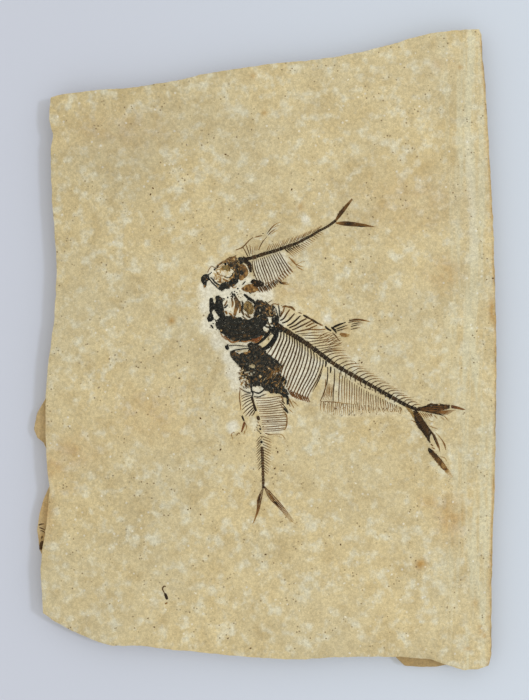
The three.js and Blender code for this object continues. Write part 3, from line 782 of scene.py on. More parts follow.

# %% [markdown]
# ## One rib, one vertebra, one splinter
#
# A rib, a spine and a fin ray are all the same thing at this size: a thin rod pressed half into the stone.
# One rod is modelled, from a six-sided cylinder cut into rings, and every thin bone is a copy of it, bent
# along its own line with its own width. A vertebra is an hourglass with a low ridge along its top, and a
# skull splinter is a lump with hammered faces. Modelling each once and copying it keeps hundreds of bones
# light.

# %% Model the three patterns
ROD_RINGS = 9


def along_x(vertices, name):
    """A cylinder of length 1 that lies along X, starting at the origin."""
    bpy.ops.object.select_all(action="DESELECT")
    bpy.ops.mesh.primitive_cylinder_add(
        vertices=vertices, radius=MM, depth=MM, location=(MM / 2, 0, 0), rotation=(0, math.pi / 2, 0)
    )
    bpy.ops.object.transform_apply(location=True, rotation=True, scale=True)
    made = bpy.context.object
    made.name = name
    return made


def cut_across(thing, places):
    """Cuts the mesh across its length at these shares of it."""
    select_only(thing)
    bpy.ops.object.mode_set(mode="EDIT")
    for place in places:
        bpy.ops.mesh.select_all(action="SELECT")
        bpy.ops.mesh.bisect(plane_co=(place * MM, 0, 0), plane_no=(1, 0, 0))
    bpy.ops.object.mode_set(mode="OBJECT")


rod = along_x(6, "rod_pattern")
cut_across(rod, [ring / (ROD_RINGS - 1) for ring in range(1, ROD_RINGS - 1)])

vertebra = along_x(8, "vertebra_pattern")
cut_across(vertebra, [0.12, 0.35, 0.65, 0.88])
vertebra_points = points_of(vertebra)
waist = 0.84 + 0.16 * np.abs(2 * vertebra_points[:, 0] - 1) ** 1.5
vertebra_points[:, 1:] *= waist[:, None]
vertebra_points[:, 2] += 0.12 * (np.abs(vertebra_points[:, 1]) < 0.3) * (vertebra_points[:, 2] > 0)
move_points(vertebra, vertebra_points)

splinter = along_x(5, "splinter_pattern")
cut_across(splinter, [0.2, 0.55, 0.85])
splinter_points = points_of(splinter)
splinter_points[:, 1] += 0.35 * np.sin(5 * splinter_points[:, 0] + splinter_points[:, 2])
splinter_points[:, 2] *= 0.8 + 0.4 * np.cos(9 * splinter_points[:, 0] + 2 * splinter_points[:, 1])
move_points(splinter, splinter_points)
print("patterns:", [(p.name, len(p.data.vertices)) for p in (rod, vertebra, splinter)])

# %% [markdown]
# ## Laying bones
#
# `lay` copies a pattern onto a line on the face. `comb` lays a row of bones whose joints follow a few guide
# lines, as ribs do: all the roots on one guide, the knees on the next and the tips on the last. Placing each
# rib by hand would take a hundred lines for what three guides say.

# %% Lay one bone
SUNK = 0.03
BEND_STEP = 0.02
SHARP = (0.3, 1.0, 0.35)
ROOTED = (0.9, 1.0, 0.35)
BLUNT = (0.7, 1.0, 0.7)
EVEN = (1.0, 1.0, 1.0)
FADING = (0.9, 1.0, 0.4)


def taper(shape, along):
    """A bone's width along its length, from its width at the start, the middle and the end."""
    start, middle, end = shape
    rise = start + (middle - start) * smooth_step(0, 0.3, along)
    return rise + (end - middle) * smooth_step(0.55, 1, along)


def lay(line, width, tone, height=0.26, shape=ROOTED, lift=0.0, pattern=None, rust=0.0):
    """A copy of a pattern laid on the face along a line. Tone is one number, or several along the bone."""
    pattern = pattern or rod
    bone = pattern.copy()
    bone.data = pattern.data.copy()
    bpy.context.collection.objects.link(bone)
    model = points_of(pattern)
    along = model[:, 0]
    spine = through(line, along)
    ahead = through(line, np.minimum(along + BEND_STEP, 1)) - through(line, np.maximum(along - BEND_STEP, 0))
    ahead /= np.maximum(np.hypot(*ahead.T), 1e-6)[:, None]
    thick = taper(shape, along)
    spots = spine + np.column_stack([-ahead[:, 1], ahead[:, 0]]) * (model[:, 1] * thick * width / 2)[:, None]
    level = THICKNESS + face_height(spine[:, 0], spine[:, 1]) - SUNK + lift
    move_points(bone, np.column_stack([spots, level + model[:, 2] * (0.5 + 0.5 * thick) * height]))
    tones = (tone, tone) if np.isscalar(tone) else tone
    give_attribute(bone, "tone", np.interp(along, np.linspace(0, 1, len(tones)), tones))
    give_attribute(bone, "rust", np.full(len(along), float(rust)))
    return bone


def comb(count, guides, width, tone, chance=None, jitter=0.0, **more):
    """A row of bones. Bone by bone, the guides give the points that each one runs through."""
    bones = []
    for share in np.linspace(0, 1, count):
        line = np.array([through(guide, share) for guide in guides])
        width_here = width
        if chance is not None:
            line = line + chance.normal(0, jitter, line.shape)
            width_here = width * chance.uniform(0.8, 1.15)
        bones.append(lay(line, width_here, tone, **more))
    return bones


# %% [markdown]
# ### Plates of crushed bone
#
# A gill cover or a braincase is a thin sheet that cracked and crumpled under the mud. It could be a filled
# outline, but that would have no inner points to crumple. So a fine grid is added over the outline, the faces
# outside it and in its holes are deleted, the rim is smoothed, and Solidify gives the sheet its thickness.

# %% Cut a plate of crushed bone
PLATE_CELL = 0.25
PLATE_DEPTH = 0.45
PLATE_SPREAD = 0.22
PLATE_MARGIN = 0.9
FRAY_SIZE = 1.1
CREASE_SIZES = (1.3, 0.5)
TONE_SIZE = 0.9
BLOT_SIZE = 0.7
BLOT_WAVER = 0.3


def crumple(spots, size, seed):
    """Ridged noise at each place, about 0 to 1, with creases this many millimetres apart."""
    return np.array([1 - abs(noise.noise(Vector((x / size, y / size, seed)))) * 2 for x, y in spots])


def frayed(spots, size, seed):
    """Cloudy noise at each place, about -1 to 1, with lumps this many millimetres across."""
    return np.array([noise.fractal(Vector((x / size, y / size, seed)), 0.8, 2.0, 3) for x, y in spots[:, :2]])


def plate(outline, tone, dome=0.3, rough=0.14, ragged=0.35, gaps=(), blots=(), seed=1, base=0.12,
          mottle=0.12, olive=0.0, rust=0.0):
    """A sheet of crushed bone. Gaps are holes (x, y, radius) and blots are (x, y, radius, tone)."""
    outline = np.array(outline, float)
    low, high = outline.min(0) - PLATE_MARGIN, outline.max(0) + PLATE_MARGIN
    across, along = np.ceil((high - low) / PLATE_CELL).astype(int)
    bpy.ops.object.select_all(action="DESELECT")
    bpy.ops.mesh.primitive_grid_add(x_subdivisions=int(across), y_subdivisions=int(along), size=MM)
    sheet = bpy.context.object
    spots = points_of(sheet)
    spots[:, :2] = low + (spots[:, :2] + 0.5) * (high - low)
    fray = frayed(spots, FRAY_SIZE, seed)
    margin = np.where(inside(outline, spots[:, :2]), 1, -1) * edge_distance(outline, spots[:, :2])
    margin = margin + fray * ragged + PLATE_SPREAD
    for gap_x, gap_y, gap_radius in gaps:
        from_gap = np.hypot(spots[:, 0] - gap_x, spots[:, 1] - gap_y) - gap_radius * (1 + fray)
        margin = np.minimum(margin, from_gap)
    move_points(sheet, spots)
    corner_margin = np.array([max(margin[v] for v in face.vertices) for face in sheet.data.polygons])
    bpy.ops.object.mode_set(mode="EDIT")
    bpy.ops.mesh.select_mode(type="FACE")
    bpy.ops.mesh.select_all(action="DESELECT")
    bpy.ops.object.mode_set(mode="OBJECT")
    sheet.data.polygons.foreach_set("select", corner_margin < PLATE_CELL * 0.5)
    bpy.ops.object.mode_set(mode="EDIT")
    bpy.ops.mesh.delete(type="FACE")
    bpy.ops.mesh.select_mode(type="EDGE")
    bpy.ops.mesh.select_all(action="SELECT")
    bpy.ops.mesh.region_to_loop()
    bpy.ops.mesh.vertices_smooth(factor=0.5, repeat=3)
    bpy.ops.object.mode_set(mode="OBJECT")
    spots = points_of(sheet)
    depth = np.where(inside(outline, spots[:, :2]), 1, -1) * edge_distance(outline, spots[:, :2])
    swell = dome * smooth_step(-0.3, 2.2, depth)
    coarse, fine = (crumple(spots[:, :2], size, seed + turn) for size, turn in zip(CREASE_SIZES, (0, 9)))
    creases = rough * coarse + 0.5 * rough * fine
    spots[:, 2] = THICKNESS + face_height(spots[:, 0], spots[:, 1]) + base + swell + creases
    move_points(sheet, spots)
    tones = tone + mottle * frayed(spots, TONE_SIZE, seed + 3)
    waver = BLOT_WAVER * frayed(spots, BLOT_SIZE, seed + 6)
    for blot_x, blot_y, radius, blot_tone in blots:
        away = np.hypot(spots[:, 0] - blot_x, spots[:, 1] - blot_y) / radius + waver
        tones += (blot_tone - tones) * smooth_step(1.3, 0.6, away)
    give_attribute(sheet, "tone", tones)
    give_attribute(sheet, "rust", np.full(len(spots), float(rust)))
    give_attribute(sheet, "olive", np.full(len(spots), float(olive)))
    solid = sheet.modifiers.new("thickness", "SOLIDIFY")
    solid.thickness = PLATE_DEPTH * MM
    solid.offset = -1
    bpy.ops.object.modifier_apply(modifier="thickness")
    return sheet


def crumb(x, y, size, tone, turn=0.6, lift=0.05):
    """One small chip of bone."""
    half = size / 2 * np.array([math.cos(turn), math.sin(turn)])
    line = [[x - half[0], y - half[1]], [x + half[0], y + half[1]]]
    return lay(line, size, tone, 0.3, BLUNT, lift, splinter)


# %% [markdown]
# ### Splinters
#
# Where a skull broke up, its bits lie in a heap. They are strewn inside an outline by chance, leaning one way
# or every way, because no one of them matters and all of them together make the speckled look. The chance
# starts from a fixed number, so they fall the same way each time.

# %% Strew splinters
def scatter(count, outline, lengths, widths, tones, seed, lean=None, spread=0.5, lift=0.25, height=0.2):
    """Splinters of bone strewn inside an outline, leaning about one way in radians, or every way."""
    chance = np.random.default_rng(seed)
    outline = np.array(outline, float)
    bones = []
    while len(bones) < count:
        spot = chance.uniform(outline.min(0), outline.max(0))
        if not inside(outline, spot[None])[0]:
            continue
        turn = chance.uniform(0, math.pi) if lean is None else chance.normal(lean, spread)
        half = chance.uniform(*lengths) / 2 * np.array([math.cos(turn), math.sin(turn)])
        bend = chance.normal(0, 0.12, 2)
        line = [spot - half, spot + bend, spot + half]
        pattern = splinter if chance.random() < 0.6 else rod
        rise = chance.uniform(0.5, 1) * lift
        bones.append(lay(line, chance.uniform(*widths), chance.uniform(*tones), height, BLUNT, rise, pattern))
    return bones


# %% [markdown]
# ### From loose bones to one piece
#
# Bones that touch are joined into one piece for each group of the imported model. The piece rides on the slab,
# takes the group's finish, and stands in for the plain solid that held its place.

# %% Join a group
BONE_CREASE = 50


def join_bones(name, slot, bones):
    """One piece that rides on the slab, made of all these bones."""
    select_only(*bones)
    bpy.ops.object.join()
    piece = bpy.context.object
    piece.name = name
    bpy.ops.object.shade_smooth_by_angle(angle=math.radians(BONE_CREASE))
    piece.data.materials.clear()
    piece.data.materials.append(bone_finishes[slot])
    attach(piece, BODY)
    print(name, "has", len(bones), "bones and", len(piece.data.polygons), "faces")
    return piece


def finish_group(node, bones):
    """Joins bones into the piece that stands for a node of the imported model."""
    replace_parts(join_bones(node + "_bones", slot_of_node[node], bones), node)


def backbone(line, count, widths, tone, height, seed):
    """Vertebrae end to end along a line, from one width at the head to another at the tail."""
    chance = np.random.default_rng(seed)
    bones = []
    for index in range(count):
        ends = through(line, [(index + 0.07) / count, (index + 0.93) / count])
        width = np.interp(index / count, [0, 1], widths) * chance.uniform(0.85, 1.12)
        here = tone + chance.uniform(-0.06, 0.14)
        bones.append(lay(ends, width, here, height, EVEN, 0, vertebra))
    return bones


# %% [markdown]
# ## The large fish
#
# It lies head up and tail down to the right, with its belly to the lower left. Its skull and jaws are a
# crushed black mass with pale stone showing through, and two black arcs of the shoulder girdle stand behind
# it. The backbone, about 40 vertebrae, carries fine ribs below and spines above.

# %% Crush the skull
LARGE_GILL_COVER = [
    [-19.1, 11.4], [-17.7, 12.6], [-15.9, 13.2], [-12.9, 13.4], [-11, 12.8], [-9.7, 12.8], [-8.7, 11.9],
    [-5.7, 11.9], [-4.4, 12.8], [-2.8, 13.2], [-1.4, 12.8], [0, 12.3], [0.9, 11.4], [0.7, 10], [-0.5, 8.9],
    [-0.7, 7.7], [0.5, 6.8], [0.9, 5.9], [-0.5, 5.5], [-1.4, 4.5], [-2.8, 3.6], [-5.1, 3.6], [-8.7, 3.3],
    [-11.5, 3.3], [-12.9, 3.8], [-14.2, 4.7], [-15.6, 5.7], [-17, 6.8], [-18.1, 8], [-19.1, 9.1], [-19.5, 10],
]
LARGE_CHEEK = [
    [-4.1, 17.6], [-2.8, 19.7], [-1.4, 19.7], [-0.5, 19.2], [0.9, 18.1], [1.8, 17.1], [1.4, 15.6],
    [1.1, 13.7], [0.9, 12.8], [1.4, 10.9], [-1.4, 12.4], [-2.8, 13], [-4.3, 12.6], [-3.8, 14.5], [-3.9, 16.5],
]
LARGE_EYE = [
    [-8.1, 18], [-7.2, 18.9], [-6, 19], [-4.9, 18.1], [-4.3, 16.7], [-4.4, 15.4], [-5.2, 14.2], [-6.2, 14.1],
    [-7.2, 15.2], [-8.1, 16.3],
]
skull = [
    plate(
        LARGE_GILL_COVER, 0.12, dome=0.25, rough=0.16, seed=2, mottle=0.13,
        gaps=[(-16.3, 11.6, 0.3), (-15.7, 9.3, 0.35)],
        blots=[(-12.1, 13, 0.8, 0.58), (-8.7, 10.4, 0.35, 0.4), (-4.4, 11.4, 0.4, 0.4), (-7.7, 5.4, 0.8, 0.4),
               (-6, 5.4, 0.5, 0.5), (-12.4, 4.2, 0.8, 0.4), (0.4, 8, 0.6, 0.95), (1, 7.2, 0.5, 0.95),
               (-17.2, 7.6, 0.35, 0.85), (-9.7, 8.6, 0.7, 0.25), (-14.4, 10.6, 0.6, 0.25)],
    ),
    plate(
        LARGE_CHEEK, 0.14, dome=0.2, rough=0.2, ragged=0.4, seed=3, mottle=0.34,
        gaps=[(-1.8, 15.5, 0.4), (-1.8, 13.7, 0.3), (-0.7, 13.9, 0.3), (-1.4, 18.5, 0.25), (-3.9, 15.4, 0.3)],
        blots=[(-0.5, 18.3, 0.6, 0.5), (1.1, 16.2, 0.6, 0.55), (-2.2, 17.5, 0.5, 0.35), (0.4, 14.6, 0.5, 0.5),
               (-3.2, 16.8, 0.25, 0.95), (0.2, 12, 0.4, 0.5)],
    ),
    plate(LARGE_EYE, 0.48, dome=0.2, rough=0.2, ragged=0.3, seed=4, mottle=0.6, olive=0.55, base=0.06,
          blots=[(-5, 18.8, 0.5, 0.2), (-5.6, 14.4, 0.7, 0.4), (-4.4, 14.8, 0.5, 0.6),
                 (-6.6, 16.4, 0.5, 0.3)]),
]
RUST_RIM = [
    ([[-15.9, 5.4], [-14.2, 3.8], [-12.9, 2.9], [-11.5, 3.1], [-9.9, 3.6]], 0.6, (0.5, 0.62, 0.6)),
    ([[-17.4, 6.4], [-16.4, 5], [-15, 3.8]], 0.35, (0.7, 0.62, 0.75)),
    ([[-9.2, 3.4], [-7.4, 3.1], [-5.7, 3.6], [-4.8, 3.2]], 0.6, (0.6, 0.64, 0.6)),
    ([[-5, 3.6], [-3.7, 2.9], [-2.5, 3.1], [-1.4, 4.3], [-0.7, 5.4]], 0.55, (0.6, 0.64, 0.6, 0.7)),
]
CHEEK_STRIPS = [
    ([[-13.1, 20.6], [-12.6, 18.5], [-12.9, 16.9]], 0.65, (0.35, 0.55, 0.7)),
    ([[-11.8, 20.8], [-11, 19.2], [-10.9, 17.4], [-11.5, 15.5], [-11.9, 13.6]], 1.3,
     (0.3, 0.5, 0.35, 0.6, 0.5)),
    ([[-10, 19.4], [-9.6, 16.8], [-9.9, 14.6]], 0.7, (0.3, 0.6, 0.5)),
    ([[-8.9, 19.6], [-8.7, 17.8], [-8.8, 15.6], [-8, 13.9]], 0.5, (0.4, 0.1, 0.3, 0.5)),
    ([[-7.6, 14.4], [-6.8, 13.2], [-5.6, 12.6]], 0.45, (0.5, 0.3)),
    ([[-8.8, 13.4], [-7.6, 12.4], [-6.6, 11.6]], 0.4, (0.3, 0.55)),
    ([[-14.2, 14.6], [-13.2, 13.8], [-12.6, 12.8]], 0.6, (0.6, 0.5)),
    ([[-17, 18.8], [-16.6, 17.2], [-16.2, 15.6]], 0.5, (0.1, 0.3)),
    ([[-9.1, 17.4], [-9.1, 15.2], [-8, 13.4]], 0.35, (0.1, 0.25, 0.4)),
    ([[-16, 17.4], [-15.4, 18.4], [-14.8, 19.6]], 0.55, (0.35, 0.55, 0.4)),
    ([[-16.1, 16.6], [-15.2, 17.2], [-14.6, 18]], 0.5, (0.05, 0.1)),
    ([[-15.7, 15.4], [-15.2, 14.8], [-14.9, 14]], 0.7, (0.5, 0.64)),
    ([[-12.2, 22.4], [-11.6, 21.2], [-10.9, 20.2], [-10.2, 19.2]], 0.65, (0.08, 0.35, 0.3)),
    ([[-13, 22.7], [-12.6, 21.6], [-12.8, 20.4]], 0.5, (0.08, 0.45)),
    ([[-8.4, 18.9], [-8.5, 17.4], [-8.2, 16.2]], 0.3, (0.1, 0.2)),
    ([[-7, 19.7], [-6, 19.8], [-4.8, 19]], 0.3, (0.3, 0.12)),
    ([[-6.8, 14.6], [-6.2, 13.4], [-5.2, 12.9]], 0.35, (0.4, 0.5)),
]
skull += [lay(line, width * 1.2, tone, 0.42, BLUNT, 0.12, rust=0.45) for line, width, tone in RUST_RIM]
RUST_STRAP = [[-5.2, 4.2], [-3.4, 3.8], [-2, 4.5], [-1, 5.6]]
skull += [lay(RUST_STRAP, 1.3, (0.3, 0.4, 0.35), 0.4, SHARP, 0.3, rust=0.8)]
GILL_RIDGES = [
    [[-16.6, 8.6], [-13, 6.2], [-8.8, 5.9], [-4.4, 7.4], [-1.6, 10]],
    [[-17, 10.4], [-13.6, 8.2], [-9.4, 7.9], [-5.6, 9], [-3.4, 11]],
    [[-15, 7], [-11.6, 5], [-8, 4.8], [-4, 6], [-1.4, 8]],
    [[-15.4, 11.2], [-12, 9.8], [-8.8, 9.9], [-6.6, 11]],
]
skull += [lay(line, 0.22, 0.3, 0.5, SHARP, 0.42) for line in GILL_RIDGES]
skull += [lay(line, width * 1.3, tone, 0.34, BLUNT, 0.02) for line, width, tone in CHEEK_STRIPS]
skull += [
    lay([[-8.2, 22], [-6.2, 20.4], [-4.4, 19.2], [-2.8, 17.8], [-2, 16.8]], 1.25, 0.05, 0.5, (0.5, 1, 0.8)),
    lay([[-8, 22.4], [-6, 20.9], [-4, 19.7]], 0.35, 0.3, 0.5, SHARP, 0.15),
    lay([[-12, 8], [-9.4, 7.2], [-6.6, 7.6], [-4.6, 9]], 0.4, 0.28, 0.5, SHARP, 0.3),
]
LARGE_CRUMBS = [
    (-12.9, 22.9, 0.6, 0.03), (-11.9, 23.2, 0.5, 0.05), (-11, 22.8, 0.5, 0.03), (-13.2, 21.3, 0.6, 0.06),
    (-11.9, 22, 0.7, 0.04), (-10.6, 22.1, 0.4, 0.3), (-14.6, 20.8, 0.65, 0.03), (-9.3, 22.3, 0.35, 0.5),
    (-10.2, 21.2, 0.35, 0.6), (-9.4, 20.8, 0.35, 0.3), (-10.7, 18.4, 0.4, 0.2), (-13.6, 22.2, 0.4, 0.3),
    (-9.8, 23.4, 0.4, 0.15), (-8.6, 21.2, 0.3, 0.5), (-3.4, 14.2, 0.4, 0.9), (-2.6, 15.2, 0.35, 0.85),
]
skull += [crumb(x, y, size, tone, turn=x + 2 * y) for x, y, size, tone in LARGE_CRUMBS]
skull += scatter(60, LARGE_GILL_COVER, (0.7, 2.2), (0.16, 0.36), (0.0, 0.3), 5, lift=0.4, height=0.25)
skull += scatter(22, LARGE_EYE, (0.6, 2), (0.15, 0.25), (0.2, 0.8), 36, lean=1.2, spread=0.4, lift=0.4)
skull += scatter(26, LARGE_CHEEK, (0.5, 1.6), (0.25, 0.45), (0.0, 0.75), 7, lift=0.35, height=0.25)
finish_group("large_fish_skull", skull)

# %% [markdown]
# ### Jaws
#
# Two upright bones stand before the skull, with teeth-like knobs at their ends. They are plates too, so that
# they break off as raggedly as the skull does.

# %% Crush the jaws
UPPER_JAW = [
    [-21.6, 20.6], [-20.8, 20.4], [-20.4, 19.2], [-20, 17.8], [-20.2, 16.5], [-20.9, 15.1], [-20.8, 13.9],
    [-20.2, 13], [-20.4, 11.9], [-21.4, 11.2], [-22.3, 11.2], [-22.6, 12.3], [-22.4, 13.7], [-21.6, 14.6],
    [-21.9, 16], [-21.6, 17.4], [-21.9, 19.2],
]
LOWER_JAW = [
    [-19.5, 20.8], [-18.4, 21.2], [-17.2, 20.4], [-16.8, 19.2], [-17, 17.8], [-16.5, 16.2], [-15.9, 14.6],
    [-15.9, 13.3], [-17, 12.6], [-18.1, 13.3], [-19.1, 14.6], [-19.8, 16.2], [-20, 17.8], [-19.1, 19.2],
]
jaws = [
    plate(UPPER_JAW, 0.06, dome=0.25, ragged=0.3, seed=6, gaps=[(-20.4, 14.9, 0.3)]),
    plate(LOWER_JAW, 0.08, ragged=0.3, seed=7, mottle=0.16,
          blots=[(-20, 18.6, 0.4, 0.9), (-17.6, 20.3, 0.4, 0.45), (-16.3, 15.2, 0.4, 0.4)]),
    lay([[-19.6, 20.9], [-18.4, 21.3], [-17, 20.3], [-15.8, 20.4]], 0.7, (0.05, 0.1, 0.35, 0.1), 0.35, BLUNT),
    lay([[-16.6, 19.4], [-15.9, 20]], 0.35, 0.3, 0.3, BLUNT),
    lay([[-21.4, 9.8], [-20.9, 9.2], [-20.4, 8.4]], 0.75, 0.06, 0.35, BLUNT),
    lay([[-19.8, 12.2], [-19.4, 11.4], [-19, 10.4]], 0.45, (0.3, 0.1), 0.35, BLUNT),
    crumb(-20.4, 10.4, 0.5, 0.15), crumb(-21.7, 8.9, 0.3, 0.4), crumb(-19.2, 7.9, 0.35, 0.3),
]
jaws += scatter(12, LOWER_JAW, (0.6, 1.8), (0.25, 0.45), (0.0, 0.4), 8, lean=1.5, lift=0.4)
jaws += scatter(8, UPPER_JAW, (0.6, 1.6), (0.25, 0.4), (0.0, 0.3), 9, lean=1.4, lift=0.35)
finish_group("large_fish_jaws", jaws)

# %% [markdown]
# ### Nape and shoulder
#
# Thin splinters lean over the nape. The shoulder girdle is two strong black arcs that part the head from the
# ribs. One thick rod on a curved line makes an arc, which keeps its edge smoother than a plate's.

# %% Nape and shoulder
NAPE = [
    [0.6, 18.4], [1.8, 17.6], [3.2, 17.9], [4.4, 17], [3.2, 16], [3.6, 15.1], [4.6, 14.4], [4.4, 13.2],
    [2.8, 13.3], [1, 13.4], [1.2, 15.6],
]
nape = [plate(NAPE, 0.25, dome=0.12, ragged=0.5, rough=0.2, seed=8, base=0.05, mottle=0.4,
              blots=[(2, 16.6, 0.6, 0.6), (3, 14.4, 0.5, 0.05), (2.4, 15.4, 0.4, 1.0)])]
NAPE_SPLINTERS = [
    ([[1.6, 18.8], [2.3, 19.2], [3, 19.6]], 0.4, (0.55, 0.4)),
    ([[2.7, 17.8], [4.1, 18.3], [5.6, 17.9]], 0.45, (0.5, 0.65, 0.5)),
    ([[5.4, 18.2], [5.8, 17.9]], 0.6, 0.62),
    ([[3.2, 17.9], [3.6, 16.4], [4.4, 15.2]], 0.3, (0.6, 0.4)),
    ([[4.6, 16.6], [4.9, 15.2], [5.5, 13.6]], 0.5, (0.3, 0.1)),
    ([[5.7, 17.7], [6, 15.8], [6.1, 13.5]], 0.55, (0.3, 0.06, 0.06)),
    ([[0.4, 19.3], [1.2, 18.4], [2.2, 17.6]], 0.5, (0.1, 0.4)),
    ([[2.6, 12.9], [4, 13.6], [4.6, 14.4]], 0.5, (0.05, 0.3)),
]
nape += [lay(line, width, tone, 0.32, BLUNT, 0.02) for line, width, tone in NAPE_SPLINTERS]
nape += scatter(16, NAPE, (0.5, 1.6), (0.25, 0.45), (0.0, 0.9), 10, lean=2.3, spread=0.7, lift=0.3)
finish_group("large_fish_nape_bones", nape)

SHOULDER_KNOT = [
    [3, 12.1], [4.1, 12.6], [5.3, 13.4], [6.2, 12.8], [5.7, 10.9], [5.3, 9.6], [6.2, 8.9], [7.3, 8],
    [7.1, 6.8], [6, 7.1], [4.8, 6.6], [3.9, 5.7], [2.8, 7.3], [3.4, 8.7], [3.9, 9.6], [3, 10.3],
]
shoulder = [
    plate(SHOULDER_KNOT, 0.07, ragged=0.4, rough=0.2, seed=9, mottle=0.2,
          gaps=[(6.4, 9.3, 0.4), (5.2, 8.2, 0.25)],
          blots=[(3.9, 10.3, 0.5, 0.5), (2.6, 11.4, 0.4, 0.9), (4.6, 9.2, 0.3, 0.8)]),
    lay([[2, 9.4], [2.3, 7.4], [0.8, 5.2], [-1.2, 3.4], [-3.1, 2.1], [-5, 1.6]], 1.2, 0.02, 0.55,
        (0.5, 1, 0.4)),
    lay([[5.2, 8.8], [5, 6.2], [3.9, 3.9], [2.2, 1.8], [0.2, 0.4], [-2.8, -0.4]], 2.1, 0.02, 0.6,
        (0.6, 1, 0.5)),
    lay([[1.4, 12.6], [1.6, 10.8], [2.2, 9.6], [3.4, 8.8]], 0.5, (0.1, 0.3, 0.05), 0.35, BLUNT),
    crumb(2.4, 9.9, 0.4, 0.6), crumb(2.9, 8.9, 0.5, 0.25), crumb(1.8, 8.8, 0.3, 0.5),
    lay([[-0.2, 9.8], [1.4, 8.9], [3.2, 8.8]], 0.8, (0.1, 0.3, 0.1), 0.35, BLUNT),
    lay([[0, 6.6], [1, 6.7], [2.2, 6.4]], 0.6, (0.1, 0.4, 0.1), 0.35, BLUNT),
    lay([[0.6, 10.8], [1.4, 10.2], [2.6, 10.4]], 0.45, (0.1, 0.5, 0.3), 0.3, BLUNT),
]
shoulder += scatter(
    10, [[1.4, 8.2], [3.6, 8.4], [3.2, 5.6], [1.4, 3.4], [0.6, 4.6]],
    (0.6, 1.4), (0.2, 0.35), (0.3, 0.9), 11, lean=1.2, spread=0.3, lift=0.1,
)
finish_group("large_fish_shoulder_bones", shoulder)

# %% [markdown]
# ### Ribs and spines
#
# Ribs hang from the front half of the backbone and end at a dark belly edge. Short spines lean back from the
# rest, above and below. Each row is one comb, and the bones that lie out of line are laid one by one.

# %% Ribs and spines of the large fish
LARGE_SPINE = [
    [5, 9.8], [10.2, 6.6], [15.4, 3.4], [21, -0.6], [28.2, -6], [37.4, -11.4], [47, -16.8], [56.6, -22.2],
    [60.6, -23.8],
]
body_chance = np.random.default_rng(12)
bones = backbone(LARGE_SPINE, 40, (2.35, 1.5), 0.12, 0.6, 13)
bones += comb(
    17,
    [
        [[5.4, 8.6], [9.2, 6.2], [12.4, 4.4], [15.8, 2.2], [19.4, -0.6], [23.6, -4]],
        [[5.4, 6.2], [9.2, 3.6], [12.6, 1.4], [15.8, -1.4], [19.8, -4], [23.4, -7]],
        [[4.2, 3], [7.6, -0.2], [11, -3.6], [14.4, -6.6], [18.2, -9.4], [21.2, -12]],
        [[2, -0.6], [5.8, -4.8], [8.8, -8.6], [12.2, -12], [15.6, -14.4], [18.6, -16.4]],
        [[1, -1.8], [4.8, -6.8], [7.6, -13.2], [10.2, -16.6], [13.6, -18.6], [17, -19.8]],
    ],
    0.62, (0.14, 0.28, 0.32, 0.36, 0.48), body_chance, 0.05, shape=(0.8, 1, 0.9),
)
bones += comb(
    9,
    [[[9.4, -15.6], [12, -17], [14.6, -18], [17.2, -18.6]],
     [[10.4, -17.6], [12.8, -18.7], [15.2, -19.5], [17.8, -20]],
     [[11.4, -19], [13.6, -19.9], [16, -20.6], [18.4, -21.1]]],
    0.66, (0.3, 0.44, 0.54), body_chance, 0.06, shape=(0.6, 1, 0.6), height=0.32, rust=0.3,
)
bones += [
    lay([[23.2, -8.6], [21.6, -12.6], [19.4, -16.8]], 0.5, (0.12, 0.2, 0.45), shape=SHARP),
    lay([[8.4, -4.6], [6.6, -7.8], [5.4, -10.4]], 0.4, (0.3, 0.55), 0.4, SHARP, 0.2),
]
SUPRANEURALS = [
    ([[8.1, 16.8], [7.4, 14.8], [6.5, 13.2]], 0.55, (0.6, 0.5, 0.3)),
    ([[10.2, 16], [8.8, 14], [7.8, 12.4], [6.4, 11.6]], 0.6, (0.5, 0.3, 0.12)),
    ([[12.1, 14.4], [10.4, 12.4], [9, 11.2], [7.2, 10.6]], 0.6, (0.4, 0.15, 0.1)),
    ([[14.5, 13.6], [12.9, 12], [10.9, 10.3], [9.2, 9.5]], 0.6, (0.3, 0.12, 0.12)),
    ([[16.9, 12.3], [14.9, 11.4], [12.5, 9.7], [10, 8.7]], 0.6, (0.45, 0.25, 0.2)),
    ([[19, 11.6], [16.6, 10.3], [14.5, 9.3], [12.5, 8.3], [11.1, 7.9]], 0.55, (0.5, 0.3, 0.25)),
    ([[19.8, 10.7], [18.2, 9.9], [16.6, 9.1]], 0.5, 0.48),
    ([[21.1, 9.7], [19.2, 8.9], [17.4, 8.1], [14.9, 7.5], [12.3, 6.9]], 0.5, (0.55, 0.42, 0.35)),
    ([[24.5, 8.1], [21.7, 7.9], [19.2, 8], [17.4, 7.9]], 0.45, (0.6, 0.45)),
    ([[6.8, 15.4], [6.6, 14], [6.2, 12.8]], 0.4, (0.5, 0.2)),
]
bones += [lay(line, width * 1.15, tone, 0.3, (0.7, 1, 0.8), 0.03) for line, width, tone in SUPRANEURALS]
bones += comb(
    9, [[[13.2, 6.6], [17, 3.6], [20.6, 0.8], [23.6, -1.6]],
        [[18.4, 6.8], [22.2, 4.2], [25.4, 1.8], [28, -0.4]],
        [[24, 6.8], [27.6, 5], [30.4, 2.4], [32.2, -0.4]]],
    0.4, (0.25, 0.42, 0.66), body_chance, 0.2, shape=(0.7, 1, 0.4), height=0.2,
)
bones += comb(
    8, [[[21, 4.4], [24, 2.4], [26.6, 0.4]], [[24.4, 6.2], [27.4, 4.4], [30, 2.6]],
        [[26.8, 7.4], [29.6, 5.4], [31.8, 3]]],
    0.34, (0.5, 0.45, 0.64), body_chance, 0.2, shape=SHARP, height=0.16,
)
